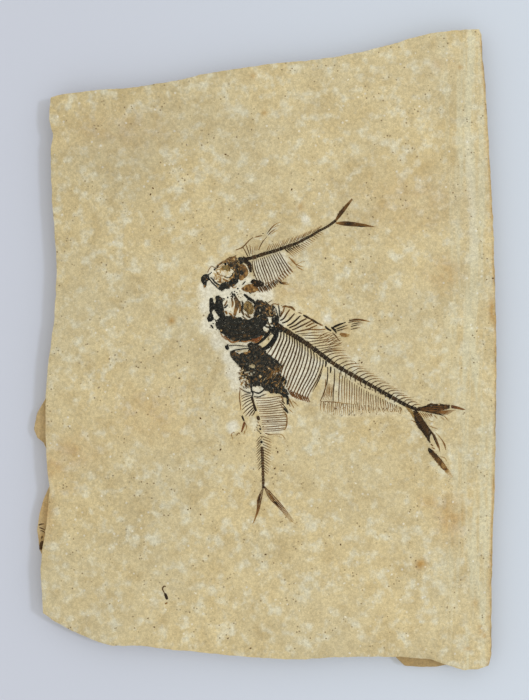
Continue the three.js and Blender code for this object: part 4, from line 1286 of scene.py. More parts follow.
bones += comb(
    23,
    [
        [[22.8, -1.8], [31.8, -8], [40.8, -13], [49.8, -18.2], [58.8, -23]],
        [[24.8, -0.8], [33.6, -6.8], [42.4, -12], [51.2, -17.2], [60, -22.2]],
        [[27.4, -0.1], [35.8, -6.1], [44.4, -11.5], [53, -16.9], [61.2, -22]],
        [[30.6, -0.3], [38.6, -6.2], [47, -11.7], [55.2, -17.1], [62.6, -22]],
    ],
    0.42, (0.2, 0.34, 0.52, 0.76), body_chance, 0.12, shape=FADING, height=0.22,
)
bones += comb(
    13, [[[30.6, -8], [38.4, -12.4], [46.4, -17], [54, -21.2]],
         [[30.8, -10.2], [38.4, -14.2], [46.4, -18.2], [54, -21.9]]],
    0.45, (0.15, 0.35), body_chance, 0.1, shape=FADING, height=0.22,
)
bones += [
    lay([[24.6, -4.6], [24.7, -5.6], [24.5, -7]], 0.8, (0.05, 0.2), 0.3, BLUNT),
    lay([[26.6, -6.8], [26.6, -8], [26.4, -9.4]], 0.7, (0.05, 0.2), 0.3, BLUNT),
]
bones += comb(
    12, [[[37.3, -13.7], [45, -17], [52.3, -19.9]], [[37.9, -14.1], [45.6, -17.3], [52.8, -20.2]]],
    0.36, 0.36, body_chance, 0.12, shape=BLUNT, height=0.2,
)
LARGE_BACK_SCUTES = [
    ([[7.2, 17], [8.4, 17.3], [9.6, 17.1]], 0.9, (0.6, 0.45, 0.55)),
    ([[9.4, 17], [10.9, 16.8], [12.2, 15.7]], 1.0, (0.5, 0.45, 0.5)),
    ([[13.7, 14.8], [15.1, 14.4]], 0.45, (0.4, 0.6)),
    ([[15.6, 13.8], [17, 13], [18.6, 12.2]], 0.95, (0.1, 0.25, 0.35)),
    ([[18.4, 12.3], [20.2, 11.2], [21.7, 10.3]], 1.0, (0.35, 0.2, 0.3)),
    ([[21.6, 10.5], [22.6, 9.9], [23.4, 9.6]], 0.7, (0.4, 0.6)),
    ([[24.4, 9.3], [25.3, 8.3], [26.8, 7.5]], 0.9, (0.1, 0.03)),
]
bones += [lay(line, width, tone, 0.3, (0.6, 1, 0.7)) for line, width, tone in LARGE_BACK_SCUTES]
finish_group("large_fish_backbone_and_ribs", bones)

# %% [markdown]
# ### Dorsal and anal fins
#
# The dorsal fin is a few strong rays, each seen well enough to lay one by one. The anal fin is long and even:
# thin supports come down from the backbone to its base, and short rays hang below, so both are combs.

# %% Dorsal and anal fins of the large fish
DORSAL_FIN = [
    ([[26.9, 8.5], [29.4, 9.7], [32.6, 10.9]], 0.95, (0.02, 0.04, 0.2)),
    ([[28.4, 8], [30.9, 8.9], [33.4, 9.8]], 0.5, (0.04, 0.08, 0.4)),
    ([[28.6, 7.3], [31, 8], [33.6, 8.7]], 0.4, (0.1, 0.3, 0.6)),
    ([[26.8, 8.9], [28, 7.9], [28.9, 6.5]], 0.95, (0.04, 0.05, 0.2)),
    ([[27.4, 6.6], [28.8, 5.2], [30.2, 3.2]], 0.45, (0.3, 0.4, 0.6)),
    ([[30.2, 6.1], [32, 6], [34.2, 5.8]], 1.3, (0.6, 0.55, 0.8)),
    ([[30.6, 5.5], [32.4, 5.2], [34, 5.2]], 0.6, (0.7, 0.62, 0.85)),
    ([[33.9, 11.5], [36.7, 12], [39.7, 11.7], [42.2, 11.1]], 0.8, (0.4, 0.35, 0.5, 0.8)),
    ([[33.6, 10.8], [36.4, 11.3], [39, 11.1]], 0.45, (0.3, 0.55, 0.8)),
    ([[35, 10.1], [37.4, 10.6], [39.4, 10.6]], 0.4, (0.3, 0.3, 0.7)),
    ([[34.6, 9.1], [36.6, 9.7], [38.6, 9.9]], 0.4, (0.25, 0.3, 0.7)),
    ([[34.6, 8], [36.6, 8.5], [38.4, 8.9]], 0.4, (0.25, 0.35, 0.7)),
]
fin = [lay(line, width, tone, 0.3, (0.6, 1, 0.4)) for line, width, tone in DORSAL_FIN]
finish_group("large_fish_dorsal_fin", fin)

fin_chance = np.random.default_rng(14)
ANAL_BASE = [[22.8, -20.8], [26, -20.9], [30.2, -21.3], [38.2, -22.2], [46.2, -23], [54.4, -24.2]]
LONG_SUPPORTS = [
    ([[25.4, -7], [25.2, -12.6], [23.6, -18], [22.4, -20.6]], 0.5, (0.15, 0.25, 0.4, 0.5)),
    ([[28.2, -7.6], [28, -13], [27.6, -17.6], [27.6, -20.8]], 0.5, (0.25, 0.3, 0.25, 0.45)),
    ([[30.2, -9.2], [30, -14], [29.8, -18], [29.8, -21]], 0.45, (0.4, 0.45, 0.4, 0.55)),
    ([[24.6, -12], [24.4, -15.4], [23.8, -19]], 0.4, (0.5, 0.6)),
]
fin = [lay(line, width, tone, 0.24, (0.7, 1, 0.7)) for line, width, tone in LONG_SUPPORTS]
fin += comb(
    26,
    [
        [[31.2, -10.4], [36, -13.6], [40.8, -16.5], [45.6, -19], [50.2, -21.2], [54.6, -23]],
        [[31.2, -15], [36, -17.2], [40.8, -19], [45.6, -20.8], [50.4, -22.2], [54.8, -23.8]],
        [[31.2, -21.2], [36, -21.9], [40.8, -22.5], [45.8, -23.1], [50.6, -23.7], [55, -24.4]],
    ],
    0.38, (0.36, 0.52, 0.68), fin_chance, 0.12, shape=(0.8, 1, 0.6), height=0.2,
)
fin += comb(
    6, [[[25.4, -13.4], [27.4, -13.8]], [[24.8, -17], [27.2, -17.4]], [[23.4, -20.4], [27, -20.6]]],
    0.3, (0.66, 0.6, 0.62), fin_chance, 0.08, shape=SHARP, height=0.16,
)
fin += [lay(ANAL_BASE[:4], 0.4, (0.5, 0.5, 0.66, 0.85), 0.2, SHARP)]
fin += comb(
    40,
    [[[22.8, -20.8], [29.1, -21.2], [35.4, -21.9], [41.8, -22.5], [48, -23.3], [54.4, -24.2]],
     [[22.6, -23], [29, -23.6], [35.4, -23.8], [41.8, -23.9], [48, -24.2], [54.4, -24.8]],
     [[22.8, -24.8], [29.2, -26.4], [35.6, -26.2], [42, -25.4], [48.4, -25], [54.8, -25.4]]],
    0.33, (0.48, 0.64, 0.84), fin_chance, 0.14, shape=FADING, height=0.17,
)
fin += scatter(
    34, [[24, -22], [50, -23.4], [52, -25.4], [38, -26.4], [28, -27]], (0.25, 0.6), (0.2, 0.35), (0.3, 0.7),
    37, lean=1.5, spread=0.4, lift=0.05,
)
finish_group("large_fish_anal_fin", fin)

# %% [markdown]
# ### Tail
#
# The rays of a tail lobe lie so close that they make one film, with darker and lighter rays on it and loose
# ones at its frayed end. So each lobe is a thin plate with combs of rays over it.

# %% Tail
tail = [plate(
    [[60.2, -23.7], [62.4, -23.1], [64.4, -22.9], [66, -21.8], [70.2, -21.9], [74, -22.3], [74, -23.5],
     [70.2, -24.5], [68, -25.2], [66.2, -25], [63.8, -24.5], [60.2, -24.3]],
    0.24, dome=0.15, ragged=0.25, seed=12, mottle=0.3,
    blots=[(63.6, -24.4, 1, 0.55), (71, -24.2, 0.9, 0.4), (69.9, -22, 0.4, 0.9), (66.8, -24.8, 1, 0.4)],
)]
tail += comb(
    6, [[[61, -23.7], [61, -24.1]], [[66.4, -22.3], [66.4, -24.4]], [[74.2, -22.5], [74, -23.6]]],
    0.3, (0.25, 0.08, 0.2), lift=0.15, height=0.3, shape=SHARP,
)
tail += comb(
    3, [[[62.4, -23.6], [62.4, -24.1]], [[67.6, -22.9], [67.6, -24.4]], [[73.6, -22.9], [73.4, -23.6]]],
    0.26, (0.5, 0.56, 0.5), lift=0.24, height=0.3, shape=SHARP, rust=0.4,
)
tail += comb(
    4, [[[74.8, -22.4], [74.8, -23.3]], [[77, -22.9], [77.4, -23.6]], [[80.4, -24], [79.6, -24.2]]],
    0.55, (0.2, 0.4, 0.58), height=0.28, shape=FADING, rust=0.3,
)
tail += comb(
    6, [[[62.4, -24.6], [67.6, -25.5]], [[68.6, -24.7], [70.8, -25.5]], [[76.4, -24.2], [73.6, -26]]],
    0.45, (0.4, 0.55, 0.64), height=0.24, shape=SHARP, rust=0.25,
)
tail += comb(
    4, [[[63, -24.8], [67.4, -25.6]], [[67.4, -25], [70, -26]], [[73.4, -25], [72.4, -26.8]]],
    0.3, (0.3, 0.2, 0.5), lift=0.06, height=0.24, shape=SHARP,
)
tail += comb(
    6, [[[61.4, -24.8], [66, -25.6]], [[62.6, -26.2], [66.8, -26.4]], [[63.6, -28.2], [67.6, -27.2]]],
    0.4, (0.5, 0.62, 0.8), height=0.18, shape=SHARP,
)
THIN_TAIL_RAYS = [
    ([[67.8, -26.2], [69.2, -27.6]], 0.6), ([[70.6, -27], [72.2, -28.2]], 0.7),
    ([[72.6, -27.4], [73.8, -28.4]], 0.7),
    ([[66.6, -25.4], [67.2, -26.4]], 0.5), ([[72, -26.6], [73.4, -28]], 0.6),
]
tail += [lay(line, 0.35, tone, 0.16, SHARP) for line, tone in THIN_TAIL_RAYS]
finish_group("large_fish_upper_tail_lobe", tail)

tail = [plate(
    [[59.6, -24.8], [60.8, -24.6], [62.6, -26.8], [64.2, -29], [65.6, -31.2], [66.9, -33.4], [66, -34.4],
     [66.2, -37.2], [64.9, -35.2], [63.2, -32.8], [61.4, -30.6], [60.2, -27.8]],
    0.2, dome=0.15, ragged=0.25, seed=13, mottle=0.24, blots=[(61.8, -26, 0.8, 0.4), (64.8, -29.6, 0.7, 0.4)],
)]
tail += [plate(
    [[56.4, -22.8], [58, -23.2], [60, -25.6], [61.4, -28.6], [60.4, -28.4], [58.6, -25.4]],
    0.66, dome=0.05, rough=0.05, ragged=0.2, seed=15, olive=0.5,
)]
tail += comb(
    7, [[[59.8, -25.4], [61, -25]], [[61.9, -30], [64.6, -29.6]], [[65.6, -36.4], [67, -33.6]]],
    0.3, (0.25, 0.08, 0.2), lift=0.15, height=0.3, shape=SHARP,
)
tail += comb(
    4, [[[60.2, -25.6], [60.9, -25.4]], [[62.8, -30], [64.2, -29.6]], [[65.4, -34.6], [66.4, -33.4]]],
    0.22, (0.46, 0.4, 0.5), lift=0.22, height=0.3, shape=SHARP,
)
tail += [
    lay([[66.2, -31.8], [68, -34.4], [69, -36.8], [69.9, -39], [70.2, -40.8]], 0.8, (0.35, 0.4, 0.6), 0.25,
        SHARP),
    lay([[66.8, -33], [68, -35.4], [69, -37.8], [69.6, -39.4]], 0.7, (0.2, 0.25, 0.6), 0.25, SHARP),
    lay([[68.4, -33], [71.2, -36.4], [72.6, -40.2]], 0.4, (0.9, 0.55, 0.6), 0.2, SHARP),
    lay([[71, -36], [72.2, -38], [72.6, -40]], 0.5, (0.5, 0.6), 0.2, SHARP),
    lay([[65.6, -30.4], [67.6, -31.2], [69.6, -31.8]], 0.4, (0.7, 0.65), 0.18, SHARP),
    lay([[64.6, -27.6], [66.4, -28.6], [67.8, -29]], 0.3, (0.9, 0.7), 0.15, SHARP),
    lay([[60.8, -24.6], [62.4, -26.6], [63.8, -28.6]], 0.5, (0.6, 0.75), 0.2, SHARP),
    lay([[58.6, -28.2], [60, -28.8], [61.6, -30.4]], 0.4, (0.75, 0.5), 0.18, SHARP),
    lay([[66.6, -37.8], [67.5, -38.6]], 0.5, 0.45, 0.2, BLUNT),
    lay([[67, -39.2], [68.3, -39.8]], 0.5, 0.6, 0.2, BLUNT),
]
finish_group("large_fish_lower_tail_lobe", tail)

tail = [plate(
    [[65.6, -39.4], [66.8, -40], [68.6, -41.8], [70.6, -44], [72.5, -46.5], [74, -48.8], [75.2, -51],
     [74.5, -50.8], [72.2, -48.4], [69.9, -46], [67.6, -43.2], [65.7, -40.8]],
    0.38, dome=0.12, rough=0.1, ragged=0.18, seed=14, mottle=0.24,
    blots=[(66.3, -40.3, 1.1, 0.08), (69.8, -44, 1, 0.5), (71.8, -46.4, 1.2, 0.66), (74.2, -49.8, 2, 0.85)],
)]
tail += comb(
    3, [[[65.9, -39.9], [66.6, -40.1]], [[69.6, -45], [70.6, -44.2]], [[74.4, -50.4], [74.9, -50.4]]],
    0.28, (0.08, 0.3, 0.7), lift=0.1, height=0.25, shape=SHARP,
)
tail += [lay([[70.2, -42.8], [72.2, -43.4], [73.4, -45.4]], 0.35, (0.6, 0.85), 0.15, SHARP)]
finish_group("large_fish_tail_tip", tail)

# %% [markdown]
# ## The upper fish
#
# A small fish with its snout to the left and its tail up to the right. Its head is whole enough to show the
# eye, the gill cover and the jaw. Thin scutes run in one line from the head to the dorsal fin.

# %% Head
UPPER_SNOUT = [
    [-25.2, 28.5], [-24.8, 29], [-24.1, 29.9], [-23, 30.1], [-22.3, 29.9], [-21.9, 28.2], [-22.7, 27.5],
    [-23.3, 26.1], [-23.6, 25], [-24.3, 25.1], [-24.3, 26.3], [-25.1, 27.7],
]
UPPER_THROAT = [
    [-17.8, 25.5], [-16.9, 26.4], [-15.6, 26.9], [-14.3, 27], [-13.2, 27.7], [-12.3, 28.5], [-11.8, 29.6],
    [-11.5, 30.8], [-11, 31.5], [-10.5, 31], [-10.1, 29.6], [-10.3, 28.3], [-10.5, 27], [-11.5, 26.1],
    [-12.1, 25.5], [-13.5, 25.2], [-14, 24.4], [-15.3, 24.4], [-16.2, 24], [-17.2, 23.6], [-17.8, 24],
]
UPPER_BRAINCASE = [
    [-14.7, 35.1], [-12.1, 35.4], [-10.5, 35.4], [-10.1, 34.6], [-10.1, 31.2], [-10.1, 29.6], [-11, 29.6],
    [-11.8, 31], [-12.6, 31.8], [-13.2, 32.7], [-14, 33.4], [-14.7, 34.2],
]
UPPER_FOREHEAD = [
    [-15.6, 35.7], [-14.7, 36.4], [-13.1, 36.7], [-11.5, 37.2], [-11, 36.5], [-10.9, 36], [-12.1, 35.4],
    [-14.7, 35.1], [-16.2, 34.8], [-16.9, 34.5], [-18.3, 33.4], [-19.4, 32.3], [-19.6, 32.6], [-18.3, 34],
    [-16.9, 35],
]
UPPER_GILL_COVER = [
    [-9.9, 33.7], [-9, 34], [-8.2, 34], [-7.4, 33.1], [-6.7, 31.8], [-6.6, 30.5], [-6.9, 29.6], [-7.9, 28.6],
    [-9, 27.7], [-9.7, 27.8], [-10.1, 28.9], [-9.9, 30.7],
]
UPPER_EYE = [
    [-16.7, 33.2], [-15.6, 33.6], [-14.7, 33.3], [-13.7, 32.4], [-14, 31.4], [-14.7, 31.6], [-15.6, 32],
    [-16.4, 31.9],
]
UPPER_FACE = [
    [-20.6, 30.2], [-19.4, 32], [-17.4, 33.8], [-15, 34.6], [-13, 33.4], [-11.4, 31.2], [-11.2, 29],
    [-12.6, 27.4], [-14.6, 26.6], [-17.4, 25.9], [-18.6, 26.4], [-19.8, 28],
]
head = [
    plate(UPPER_FACE, 0.93, dome=0.02, rough=0.06, ragged=0.3, seed=19, base=0.02, mottle=0.32,
          gaps=[(-16, 30.4, 0.8), (-14.8, 30.2, 0.6)],
          blots=[(-17.4, 27.6, 0.9, 0.62), (-18.6, 30.4, 0.6, 0.66), (-15, 27.4, 0.8, 0.6),
                 (-14.6, 32.6, 1, 0.5), (-16.6, 32.4, 0.9, 0.6), (-13.4, 28.4, 0.6, 0.6),
                 (-12.4, 29.6, 0.6, 0.5)]),
    plate(UPPER_SNOUT, 0.06, dome=0.25, ragged=0.2, seed=20,
          blots=[(-23.9, 25.2, 0.6, 0.58), (-23.6, 28.9, 0.5, 0.3), (-23, 28, 0.3, 0.7)]),
    plate(UPPER_THROAT, 0.12, ragged=0.25, seed=21, mottle=0.16,
          blots=[(-12.1, 25.4, 0.7, 0.5), (-13.7, 25, 0.6, 0.5), (-11, 28.6, 0.4, 0.35),
                 (-14.6, 25.8, 0.4, 0.4)]),
    plate(UPPER_BRAINCASE, 0.28, rough=0.12, ragged=0.25, seed=22, mottle=0.24,
          blots=[(-13.4, 33.9, 0.45, 0.1), (-12.9, 32.6, 0.3, 0.9), (-11.9, 33.4, 0.5, 0.45),
                 (-12, 31.9, 0.3, 0.8), (-14, 34.6, 0.3, 0.6)]),
    plate(UPPER_FOREHEAD, 0.5, dome=0.2, rough=0.1, ragged=0.2, seed=23, mottle=0.3,
          blots=[(-12, 36.1, 0.5, 0.85), (-13.4, 35.3, 0.6, 0.35), (-18.6, 33.2, 0.6, 0.35)]),
    plate(UPPER_GILL_COVER, 0.48, rough=0.08, ragged=0.15, seed=24, mottle=0.16,
          blots=[(-9.1, 30.7, 1, 0.12), (-8.3, 31.8, 0.8, 0.4), (-7.1, 30.4, 0.7, 0.66),
                 (-8.6, 28.4, 0.7, 0.62)]),
    plate(UPPER_EYE, 0.48, dome=0.2, ragged=0.15, seed=25, mottle=0.35, olive=0.6),
    plate([[-10.5, 36.5], [-9, 36.9], [-8.3, 36.2], [-8.6, 34.6], [-9.3, 34.2], [-9.9, 35]], 0.16,
          dome=0.2, ragged=0.2, seed=26, mottle=0.25, blots=[(-10.2, 35.2, 0.3, 0.95)]),
]
JAW_RODS = [
    ([[-21.9, 28.3], [-21, 26.9], [-19.6, 25.6], [-18.8, 24.7], [-17.8, 23.9]], 0.6, (0.05, 0.1, 0.08), 0),
    ([[-21.5, 28.8], [-20.5, 28], [-19.6, 26.7], [-18.1, 25.9], [-17.2, 25.3]], 0.75, (0.05, 0.15, 0.1), 0),
    ([[-19, 26], [-18.2, 24.9]], 0.35, (0.75, 0.6), 0.15),
    ([[-22.3, 30], [-21.6, 30.4], [-21, 31]], 0.4, 0.1, 0),
    ([[-22.7, 30.7], [-21.9, 32.4], [-21, 33.4], [-20.2, 32.9], [-19.5, 32.6]], 0.3, (0.62, 0.5, 0.45), 0),
    ([[-20.1, 31.7], [-19.6, 32.4]], 0.75, 0.05, 0),
    ([[-19.4, 31.6], [-18.6, 30.4], [-17.5, 29.7], [-16.2, 29.4]], 0.38, (0.45, 0.62, 0.45), 0),
    ([[-19, 32.5], [-17.6, 33.2], [-16.6, 34]], 0.32, (0.6, 0.72, 0.5), 0),
    ([[-18.8, 31.9], [-17.6, 32.1], [-16.8, 32.3]], 0.3, 0.78, 0),
    ([[-16.4, 34.5], [-14.8, 34.6]], 0.3, 0.2, 0.1),
    ([[-15.9, 34], [-15.1, 34.1]], 0.85, 0.03, 0.1),
    ([[-14.2, 32.9], [-13.7, 32], [-13.9, 31.2]], 0.3, (0.4, 0.55), 0.15),
    ([[-16.2, 29.4], [-15, 28.8], [-13.7, 28.9], [-13, 29.6], [-12.5, 30.5], [-12, 31]], 0.5,
     (0.4, 0.1, 0.1, 0.3), 0),
    ([[-12.4, 30.2], [-12.2, 29.2], [-12, 28.4]], 0.6, (0.68, 0.58), 0.2),
    ([[-16.6, 28.4], [-15.8, 27.8], [-15, 27.6]], 0.7, (0.5, 0.6), 0),
    ([[-15.9, 28.6], [-15, 28.1], [-14.2, 27.7]], 0.35, 1.0, 0.2),
    ([[-16.9, 28.3], [-16.9, 26.9]], 0.45, 1.0, 0.25),
    ([[-19, 27], [-18.2, 27.1], [-17.4, 26.8]], 0.55, (0.45, 0.55), 0.05),
    ([[-20, 28.9], [-19.7, 27.9]], 0.3, 0.5, 0),
    ([[-19.2, 29.2], [-19, 28]], 0.3, 0.65, 0),
    ([[-17.6, 29.3], [-17.6, 27.4]], 0.4, (0.62, 0.5), 0),
    ([[-12.8, 24.9], [-12, 24.7], [-11, 25.2]], 0.45, (0.62, 0.7), 0),
    ([[-10.9, 35], [-10.9, 32.6], [-10.8, 30.4]], 0.6, (0.1, 0.16, 0.1), 0.3),
    ([[-9.9, 34], [-10, 32], [-9.9, 30]], 0.4, (0.5, 0.3, 0.5), 0.25),
    ([[-8.5, 34.3], [-7.5, 33.7], [-6.7, 32.6], [-6.1, 31.2], [-6.3, 29.9], [-7.1, 28.9], [-8.3, 28]], 0.42,
     0.98, 0.12),
    ([[-8.8, 25.8], [-7.5, 27.4]], 0.5, (0.3, 0.06), 0),
    ([[-10.8, 24.6], [-10.4, 24.1]], 0.75, 0.03, 0),
    ([[-14.2, 36.9], [-12.4, 37], [-11.2, 37.6]], 0.35, (0.6, 0.5, 0.35), 0.1),
]
head += [lay(line, width, tone, 0.36, BLUNT, lift) for line, width, tone, lift in JAW_RODS]
head += scatter(14, UPPER_THROAT, (0.6, 1.8), (0.2, 0.4), (0.0, 0.5), 27, lean=-0.5, spread=0.6, lift=0.4)
head += scatter(14, UPPER_BRAINCASE, (0.5, 1.5), (0.2, 0.4), (0.1, 0.8), 28, lift=0.4)
head += scatter(10, UPPER_FOREHEAD, (0.5, 1.6), (0.2, 0.35), (0.2, 0.8), 29, lean=0.6, spread=0.4, lift=0.3)
head += scatter(6, UPPER_SNOUT, (0.5, 1.2), (0.25, 0.45), (0.0, 0.3), 30, lean=0.9, lift=0.3)
finish_group("upper_fish_skull", head)

# %% Backbone and ribs
UPPER_SPINE = [
    [-8.2, 36], [-4.8, 36.7], [-0.8, 38], [0.4, 38.4], [4.1, 39.4], [8.4, 40.9], [11.8, 42.1], [14.2, 43.1],
    [16.6, 44.4], [19, 45.6], [21.4, 47.2], [23.8, 48.4], [26.2, 49.8], [28.6, 51.6],
]
UPPER_SHOULDER = [
    [-8.2, 37], [-7.1, 36.4], [-6.3, 35.1], [-5.5, 34.6], [-5.2, 33], [-5.1, 30.9], [-5.8, 30.9],
    [-6.2, 32.6], [-6.8, 33.9], [-7.6, 34.6], [-8.3, 35],
]
UPPER_CHEST = [
    [-5.2, 26.8], [-4.9, 27.8], [-4.2, 28.1], [-3.1, 27.6], [-2, 27.4], [-0.2, 26.6], [-0.4, 25.4],
    [-1.4, 25], [-2.3, 25.2], [-3.6, 25.2], [-4.4, 25.6],
]
UPPER_BELLY_PATCH = [
    [-9.1, 24.4], [-7.6, 25.6], [-6, 26.1], [-4.4, 26], [-3.4, 25.2], [-2.8, 23.8], [-4.2, 22.8], [-6, 22.9],
    [-7.6, 23.3],
]
body_chance = np.random.default_rng(24)
bones = backbone(UPPER_SPINE, 38, (1.85, 1.1), 0.15, 0.45, 25)
bones += [
    plate(UPPER_SHOULDER, 0.1, seed=31, dome=0.25, ragged=0.2, blots=[(-5.9, 33.2, 0.35, 0.4)]),
    plate(UPPER_CHEST, 0.1, seed=32, dome=0.18, ragged=0.4, mottle=0.2, blots=[(-3.6, 26.9, 0.4, 0.4)]),
    plate(UPPER_BELLY_PATCH, 0.56, seed=33, dome=0.12, rough=0.08, ragged=0.25, mottle=0.26,
          blots=[(-7.2, 24.2, 0.5, 0.3), (-5, 24, 0.6, 0.4)]),
    lay([[-6.1, 22.8], [-5.2, 22.4]], 0.5, 0.08, 0.3, BLUNT),
]
bones += comb(
    14,
    [
        [[-4.9, 35.5], [-2.2, 36.3], [0.5, 37.1], [3.2, 38.1], [5.9, 39]],
        [[-4.5, 32], [-1.3, 32.7], [1.9, 33.6], [5.2, 34.4], [8.4, 34.9]],
        [[-3.3, 28.8], [0, 29.4], [3.3, 30.2], [6.6, 31.4], [9.9, 32.8]],
        [[-2.2, 26.4], [1.2, 26], [4.4, 27], [7.8, 29.2], [11, 31.6]],
    ],
    0.47, (0.36, 0.3, 0.38, 0.5), body_chance, 0.05, height=0.24, shape=(0.7, 1, 0.8),
)
bones += comb(
    16,
    [[[-3.2, 25.4], [0, 26.4], [3.4, 27.6], [6.4, 29.8], [9.6, 33]],
     [[-2.2, 23.8], [1.4, 24.6], [4.6, 26.2], [7.6, 28.8], [10.9, 31.4]],
     [[-1.6, 22.8], [2, 23.5], [5, 25.6], [8, 28.1], [11.5, 31]]],
    0.46, (0.46, 0.5, 0.6), body_chance, 0.06, shape=(0.6, 1, 0.8), height=0.28, rust=0.2,
)
bones += comb(
    14, [[[-2.6, 24.6], [0, 25.4], [2.4, 26.4], [4.8, 27.8]],
         [[-1.8, 23], [1, 23.6], [3.6, 24.8], [5.6, 26.6]]],
    0.45, (0.15, 0.35), body_chance, 0.1, shape=BLUNT, height=0.34,
)
UPPER_LINES = [
    ([[5.2, 27.8], [6.6, 26.7], [7.8, 26.3], [10, 26.1]], 0.8, (0.03, 0.1, 0.5, 0.85)),
    ([[6.4, 26.9], [8, 26.8], [9.4, 26.8]], 0.35, (0.4, 0.7)),
    ([[-11.4, 39.8], [-9.7, 40.4], [-8.7, 40.9], [-7.2, 42.4], [-5.8, 43.9], [-4.4, 44.8]], 0.5,
     (0.55, 0.45, 0.5)),
    ([[-3.8, 44.9], [-2.2, 45.3], [-0.8, 45.6]], 0.45, (0.55, 0.45)),
    ([[-0.7, 46.3], [-0.3, 46.5]], 0.4, 0.3),
    ([[-8.4, 40.8], [-7.3, 38.7], [-6.3, 36.7]], 0.4, (0.55, 0.35, 0.2)),
    ([[-7.3, 42], [-6.4, 39.4], [-5.7, 37.4]], 0.4, (0.6, 0.4, 0.25)),
    ([[-5.8, 41.9], [-5.5, 40], [-5.3, 38.2]], 0.34, (0.7, 0.5, 0.3)),
    ([[-4.6, 41], [-4.6, 39.4], [-4.8, 38]], 0.3, (0.75, 0.6)),
    ([[-3.6, 41.4], [-3.8, 39.4]], 0.3, (0.75, 0.6)),
    ([[-2.8, 41.8], [-3, 39.6]], 0.3, (0.8, 0.62)),
    ([[-0.4, 43.6], [-1.4, 41.7], [-2.3, 39.8]], 0.36, (0.35, 0.4, 0.6)),
    ([[9.9, 36.8], [11.6, 35.4], [13.1, 33.4]], 0.5, (0.66, 0.6, 0.62)),
    ([[9.4, 35], [11, 33.4]], 0.35, (0.85, 0.75)),
]
bones += [lay(line, width, tone, 0.26, (0.7, 1, 0.6)) for line, width, tone in UPPER_LINES]
bones += comb(
    28, [[[0.8, 39.4], [7, 41.2], [12.4, 43.2], [17, 45.4], [22.6, 48.6]],
         [[2.2, 42.2], [8.2, 44], [13.8, 45.8], [18.2, 47.6], [23.2, 49.9]]],
    0.3, (0.4, 0.76), body_chance, 0.1, shape=FADING, height=0.16,
)
bones += comb(
    7, [[[8.4, 40.2], [10.6, 41], [13, 42.2]], [[9.6, 38.8], [11.8, 39.8], [14.2, 41]]],
    0.42, (0.1, 0.2, 0.5), body_chance, 0.1, shape=FADING, height=0.24,
)
bones += comb(
    18, [[[8.8, 39.8], [12.8, 41.4], [17.4, 43.8], [22.4, 47]],
         [[12, 36.8], [15.8, 39.4], [19.6, 42.6], [23.6, 46.4]]],
    0.3, (0.4, 0.8), body_chance, 0.08, shape=FADING, height=0.16,
)
finish_group("upper_fish_backbone_and_ribs", bones)

# %% Fins and tail
fin = [
    lay([[1, 46.2], [2.2, 47.8], [3.4, 49.2], [5, 50.4], [8, 51.4]], 0.5, (0.15, 0.45, 0.65, 0.9), 0.26,
        SHARP),
    lay([[1.4, 45.6], [3, 47.2], [4.8, 48.4]], 0.45, (0.3, 0.55, 0.7), 0.22, SHARP),
    lay([[2.4, 45.8], [4.2, 47.2], [6, 48]], 0.4, (0.8, 0.75, 0.9), 0.15, SHARP),
    lay([[1.2, 45.2], [-0.4, 43.4], [-1.6, 41.2], [-2, 39.6]], 0.34, (0.4, 0.55, 0.75), 0.2, SHARP),
    lay([[3.6, 48.6], [5, 49.4], [6.6, 49.6]], 0.3, (0.6, 0.9), 0.15, SHARP),
]
finish_group("upper_fish_dorsal_fin", fin)

fin = [
    lay([[9.8, 37.2], [11.2, 35.4], [13.2, 33.2]], 0.45, (0.75, 0.55, 0.6), 0.2, SHARP),
    lay([[12.4, 34.4], [14.2, 33.4], [16.2, 33]], 0.5, (0.6, 0.7, 0.95), 0.16, SHARP),
    lay([[13, 33.2], [14.6, 32.2], [15.8, 31.6]], 0.6, (0.6, 0.8), 0.16, SHARP),
    lay([[12.6, 34], [15, 35], [17.4, 35.6]], 0.28, (0.7, 0.9), 0.14, SHARP),
]
finish_group("upper_fish_anal_fin", fin)

tail = comb(
    4, [[[28.2, 51.4], [28.8, 51.3]], [[30.4, 55.2], [31.4, 54.6]], [[35, 60.4], [35.4, 60]]],
    0.5, (0.55, 0.3, 0.6), shape=SHARP,
)
tail += [lay([[29.6, 53], [31, 55], [32.6, 57.2]], 0.9, (0.4, 0.25, 0.5), 0.3, SHARP)]
tail += comb(
    5, [[[28.6, 50.8], [28.6, 50.4]], [[33.6, 51], [33.4, 49.6]], [[41, 50], [44.6, 49]]],
    0.55, (0.62, 0.3, 0.6), shape=SHARP,
)
tail += [
    lay([[31, 50.4], [33.8, 50.3], [37, 49.9]], 1.5, (0.3, 0.12, 0.4), 0.3, SHARP),
    lay([[36, 49.4], [39, 49.2], [41.4, 49.2]], 0.5, (0.2, 0.1, 0.4), 0.24, SHARP),
    lay([[40, 49.4], [43, 49], [46, 48.8]], 0.25, (0.7, 0.95), 0.14, SHARP),
]
finish_group("upper_fish_tail_fin", tail)

# %% [markdown]
# ## The lower fish
#
# The third fish hangs straight down from the large one's shoulder. Its head is pushed under the large fish's
# belly and crushed with it, its ribs run out to the right, and its body narrows to a thin stalk and a small
# forked tail.

